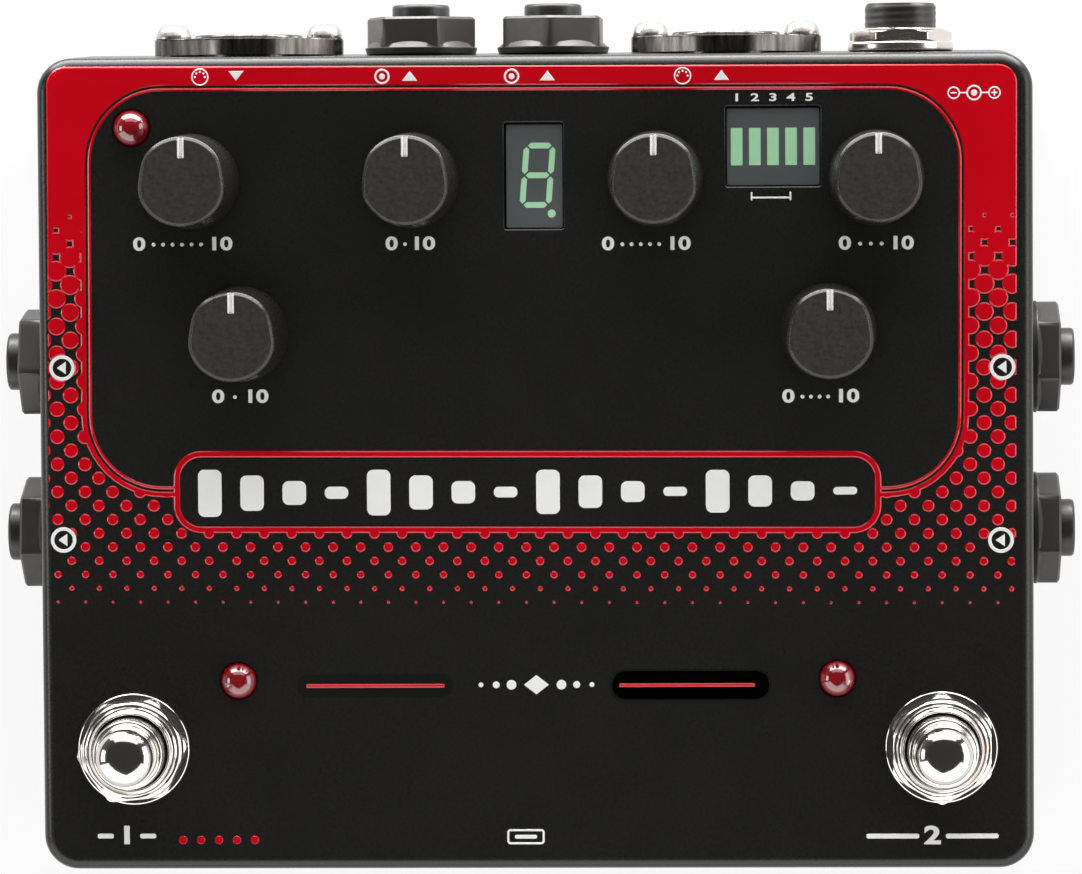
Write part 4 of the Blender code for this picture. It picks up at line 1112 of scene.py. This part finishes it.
NUT_SEAT = 0.0005
NUT_FLATS = 0.0142
NUT_BORE = 0.0045
FLANGE_RADIUS = 0.0083
COLLAR = 0.0021
SIDE_SHIFTS = (-0.00095, -0.0005)
BACK_SHIFTS = (0.0004, 0.0005)
SIDE_FLANGE = (0.0003, 0.0008)
BACK_FLANGE = (0.0005, 0.0013)


def make_jacks():
    for name, (outward, turn) in JACKS.items():
        node = "jack_" + name
        nut_shift, end = BACK_SHIFTS if outward == BACK else SIDE_SHIFTS
        flange = BACK_FLANGE if outward == BACK else SIDE_FLANGE
        mouth = wall_place(node, outward)
        rings = [level(rounded_block(0.0080, 0.0075, 0.0006, ROUND // 4 - 1), z) for z in (-0.0336, -0.0096)]
        rings += thread_rings(0.0042, -0.0096, end - COLLAR - 0.0003, THREAD_PITCH, 0.0002, steps=6)
        rings += round_rings([
            (0.00385, end - COLLAR - 0.0003), (0.00385, end - COLLAR), (0.0042, end - COLLAR, 0.0001),
            (0.0042, end, 0.0006), (0.00325, end, 0.0003), (0.00325, -0.0300)])
        add("jack_housing_" + name, loft(rings), JACK_PLASTIC, place=mouth, stands_for=(node,))
        top = extent("jack_nut_" + name, outward) + nut_shift
        nut = flanged_nut_rings(NUT_FLATS, NUT_BORE, -NUT_SEAT, top, turn, flange)
        add("jack_ring_" + name, loft(nut, closed=True), NUT_PLASTIC,
            place=wall_place("jack_nut_" + name, outward, False), stands_for=("jack_nut_" + name,))


DATA_RADIUS = 0.0093
RIM_RISE = 0.0005
EAR_RADIUS = 0.0028
EAR_REACH = 0.0111


def flange_outline(less):
    """A round plate with an ear on either side, joined by its tangent lines."""
    lean = math.asin((DATA_RADIUS - EAR_RADIUS) / EAR_REACH)
    top = math.pi / 2
    right = arc((EAR_REACH, 0), EAR_RADIUS - less, lean - top, top - lean, 23)
    centre = arc((0, 0), DATA_RADIUS - less, top - lean, top + lean, 23)
    half = right + centre
    return half + [(-x, -y) for x, y in half]


def make_data_sockets():
    thick = FLANGE_THICK
    for side in SIDES:
        node = "midi_socket_" + side
        seat = wall_place(node, BACK) @ at(0, 0, -thick)
        edge = 0.0003
        rings = [level(flange_outline(0), -NUT_SEAT), level(flange_outline(0), thick - edge),
                 level(flange_outline(edge * 0.3), thick - edge * 0.3), level(flange_outline(edge), thick)]
        count = len(rings[0])
        rings += [level(circle(r, count, -math.pi / 8), z) for r, z in softened([
            (0.0080, thick, 0.0002), (0.0078, thick + RIM_RISE, 0.0002), (0.0071, thick + RIM_RISE, 0.0002),
            (0.0069, thick, 0.0002), (0.0069, -0.0060), (0.0075, -0.0060), (0.0075, -NUT_SEAT)])]
        shell = loft(rings, closed=True)
        holes = gather([(round_hole(SCREW_HOLE, OVERRUN * 2), at(sign * EAR_REACH, 0)) for sign in (-1, 1)])
        add("socket_shell_" + side, cut(shell, holes), PLATE_PAINTED_REFLECTIONS, place=seat, stands_for=(node,))
        core = turned(softened([
            (0, -0.0120), (0.0075, -0.0120), (0.0075, -0.0062), (0.0060, -0.0062),
            (0.0060, thick - 0.0003, 0.0003), (0, thick - 0.0003)]))
        pins = []
        sleeves = []
        for pin in range(5):
            angle = math.pi * pin / 4
            spot = at(0.0046 * math.cos(angle), 0.0046 * math.sin(angle))
            pins.append((prism(circle(0.0009, SMALL_ROUND), -0.0052, OVERRUN * 2), spot))
            end = thick - 0.0006
            tube = softened([(0.0006, -0.0050), (0.0009, -0.0050), (0.0009, end), (0.0006, end)])
            sleeves.append((turned(tube, SMALL_ROUND, closed=True), spot))
        key = prism(moved(rounded_block(0.0009, 0.0008, 0.0002, 4), 0, -0.0060), -0.0050, OVERRUN * 2)
        pins.append((key, at(0, 0)))
        add("socket_core_" + side, cut(core, gather(pins)), JACK_PLASTIC, place=seat)
        add("socket_contacts_" + side, gather(sleeves), GOLD, place=seat)
        for end in ("a", "b"):
            screw = "midi_screw_" + side + "_" + end
            length = extent(screw, BACK)
            head = wall_place(screw, BACK)
            profile = softened([
                (0, -length), (0.0013, -length, 0.0003), (0.0013, -0.0022), (0.0026, -0.0022, 0.0001),
                (0.0026, -0.0018, 0.0002), (0.0021, -0.0003, 0.0010), (0, 0)], 8)
            add("pan_screw_" + side + "_" + end, cut(turned(profile, SMALL_ROUND), cross_recess()), HEAD,
                place=head, stands_for=(screw,))


def make_inlet():
    mouth = wall_place("power_jack", BACK)
    out = 0.0098
    rings = round_rings([(0.0070, -out - 0.0120), (0.0070, -out, 0.0003), (0.0049, -out)])
    rings += thread_rings(0.0052, -out + 0.0001, -0.0005, 0.0010, 0.00007)
    rings += round_rings([(0.0049, 0, 0.0001), (0.0038, 0, 0.0001), (0.0032, -0.0006), (0.0032, -0.0095)])
    add("inlet_body", loft(rings), JACK_PLASTIC, place=mouth, stands_for=("power_jack",))
    pin = softened([(0.00105, -0.0097), (0.00105, -0.0015, 0.0005), (0, -0.0015)])
    add("inlet_pin", turned(pin, SMALL_ROUND), NICKEL, place=mouth)
    seat = wall_place("power_jack_washer", BACK, False)
    washer = softened([
        (INLET_HOLE, -NUT_SEAT), (0.0077, -NUT_SEAT, 0.0003), (0.0077, 0.0008, 0.0004), (INLET_HOLE, 0.0008)])
    add("inlet_washer", turned(washer, closed=True), TURNED_NICKEL, place=seat,
        stands_for=("power_jack_washer",))
    seat = wall_place("power_jack_nut", BACK, False)
    height = extent("power_jack_nut", BACK)
    nut = nut_rings(0.0131, 0.0055, -0.0007, height + 0.0002, 0.0, 0.94, math.radians(30))
    add("inlet_nut", loft(nut, closed=True), TURNED_NICKEL, place=seat,
        stands_for=("power_jack_nut",))


def make_usb():
    mouth = wall_place("usb_socket", FRONT)
    shell = lambda less: rounded_block(0.00385 - less, 0.00195 - less, 0.0010 - less, 8)
    add("usb_shell", loft([
        level(shell(0), -0.0092), level(shell(0), -0.00005), level(shell(0.00005), 0), level(shell(0.00035), 0),
        level(shell(0.0004), -0.00005), level(shell(0.0004), -0.0060)]), STEEL, place=mouth,
        stands_for=("usb_socket",))
    add("usb_tongue", prism(rounded_block(0.0022, 0.0005, 0.0002, 4), -0.0061, -0.0006), HOUSING,
        place=mouth)
    leaf = rounded_block(0.0002, 0.00005, 0.00002, 2)
    leaves = [(prism(leaf, -0.0060, -0.0010), at((step - 2) * 0.0008, 0.0005)) for step in range(5)]
    add("usb_contacts", gather(leaves), GOLD, place=mouth)


# Stage: floor, lights and camera

# Azimuth, half spread, lower and upper edge in degrees, radiance, and distance if not the usual one
SOFTBOXES = {
    "back_softbox": (88, 45, -2, 24, 8.0),
    "back_softbox_high": (88, 40, 24, 46, 1.6),
    "back_strip": (90, 47, -15, -1, 14.0, 0.14),
    "front_softbox_left": (235, 35, 0, 47, 2.0),
    "front_softbox_right": (303, 33, 0, 47, 2.0),
    "left_softbox": (180, 13, 14, 31, 4.0),
    "right_softbox": (3, 26, 4, 33, 2.8),
}


def softbox(name, azimuth, spread, low, high, radiance, distance=1.05):
    """An upright panel of light round the object, given by the angles that it fills there."""
    azimuth, spread, low, high = (math.radians(angle) for angle in (azimuth, spread, low, high))
    data = bpy.data.lights.new(name, "AREA")
    data.shape = "RECTANGLE"
    data.size = 2 * distance * math.tan(spread)
    data.size_y = distance * (math.tan(high) - math.tan(low))
    data.energy = radiance * math.pi * data.size * data.size_y
    made = bpy.data.objects.new(name, data)
    bpy.context.scene.collection.objects.link(made)
    outward = Vector((math.cos(azimuth), math.sin(azimuth), 0))
    made.location = outward * distance + Vector((0, 0, TOP + distance * (math.tan(low) + math.tan(high)) / 2))
    made.rotation_euler = (-outward).to_track_quat("-Z", "Y").to_euler()
    made.visible_camera = False


def make_stage():
    floor = link("floor", prism(circle(4.0, ROUND), -0.0203, -0.0003))
    ground = bpy.data.materials.new("pale_floor")
    ground.use_nodes = True
    nodes = ground.node_tree.nodes
    wire = ground.node_tree.links.new
    shader = nodes["Principled BSDF"]
    fill(shader, Base_Color=(0.9, 0.9, 0.9, 1), Roughness=0.9, Specular_IOR_Level=0.0)
    glow = nodes.new("ShaderNodeEmission")
    path = nodes.new("ShaderNodeLightPath")
    seen = nodes.new("ShaderNodeMath")
    seen.operation = "ADD"
    wire(path.outputs["Is Camera Ray"], seen.inputs[0])
    wire(path.outputs["Is Glossy Ray"], seen.inputs[1])
    through = nodes.new("ShaderNodeMath")
    through.operation = "ADD"
    wire(seen.outputs[0], through.inputs[0])
    wire(path.outputs["Is Transmission Ray"], through.inputs[1])
    share = nodes.new("ShaderNodeMath")
    share.operation = "MULTIPLY"
    share.inputs[1].default_value = 0.85
    wire(through.outputs[0], share.inputs[0])
    blend = nodes.new("ShaderNodeMixShader")
    wire(share.outputs[0], blend.inputs[0])
    wire(shader.outputs[0], blend.inputs[1])
    wire(glow.outputs[0], blend.inputs[2])
    wire(blend.outputs[0], nodes["Material Output"].inputs["Surface"])
    floor.data.materials.append(ground)

    world = bpy.data.worlds.new("studio")
    bpy.context.scene.world = world
    world.use_nodes = True
    nodes = world.node_tree.nodes
    wire = world.node_tree.links.new
    place = nodes.new("ShaderNodeTexCoord")
    split = nodes.new("ShaderNodeSeparateXYZ")
    wire(place.outputs["Generated"], split.inputs[0])
    ramp = nodes.new("ShaderNodeValToRGB")
    stops = ramp.color_ramp.elements
    stops[0].position = 0.20
    stops[0].color = (0.12, 0.12, 0.12, 1)
    stops[1].position = 0.70
    stops[1].color = (0.045, 0.045, 0.045, 1)
    wire(split.outputs["Z"], ramp.inputs[0])
    wire(ramp.outputs[0], nodes["Background"].inputs["Color"])

    for name, panel in SOFTBOXES.items():
        softbox(name, *panel)


def make_camera():
    data = bpy.data.cameras.new("camera")
    data.lens = 177.74
    data.sensor_width = 36.0
    made = bpy.data.objects.new("camera", data)
    bpy.context.scene.collection.objects.link(made)
    made.location = (0.03028, 0.041388, 0.805703)
    made.rotation_euler = [math.radians(a) for a in (-2.8174, 2.178, -0.3679)]
    bpy.context.scene.camera = made
    bpy.context.scene.view_settings.view_transform = "Standard"


make_camera()
make_stage()
make_case()
make_base()
make_print()
make_controls()
make_displays()
make_lamps()
make_switches()
make_jacks()
make_data_sockets()
make_inlet()
make_usb()
dress("main_board", LAMINATE)
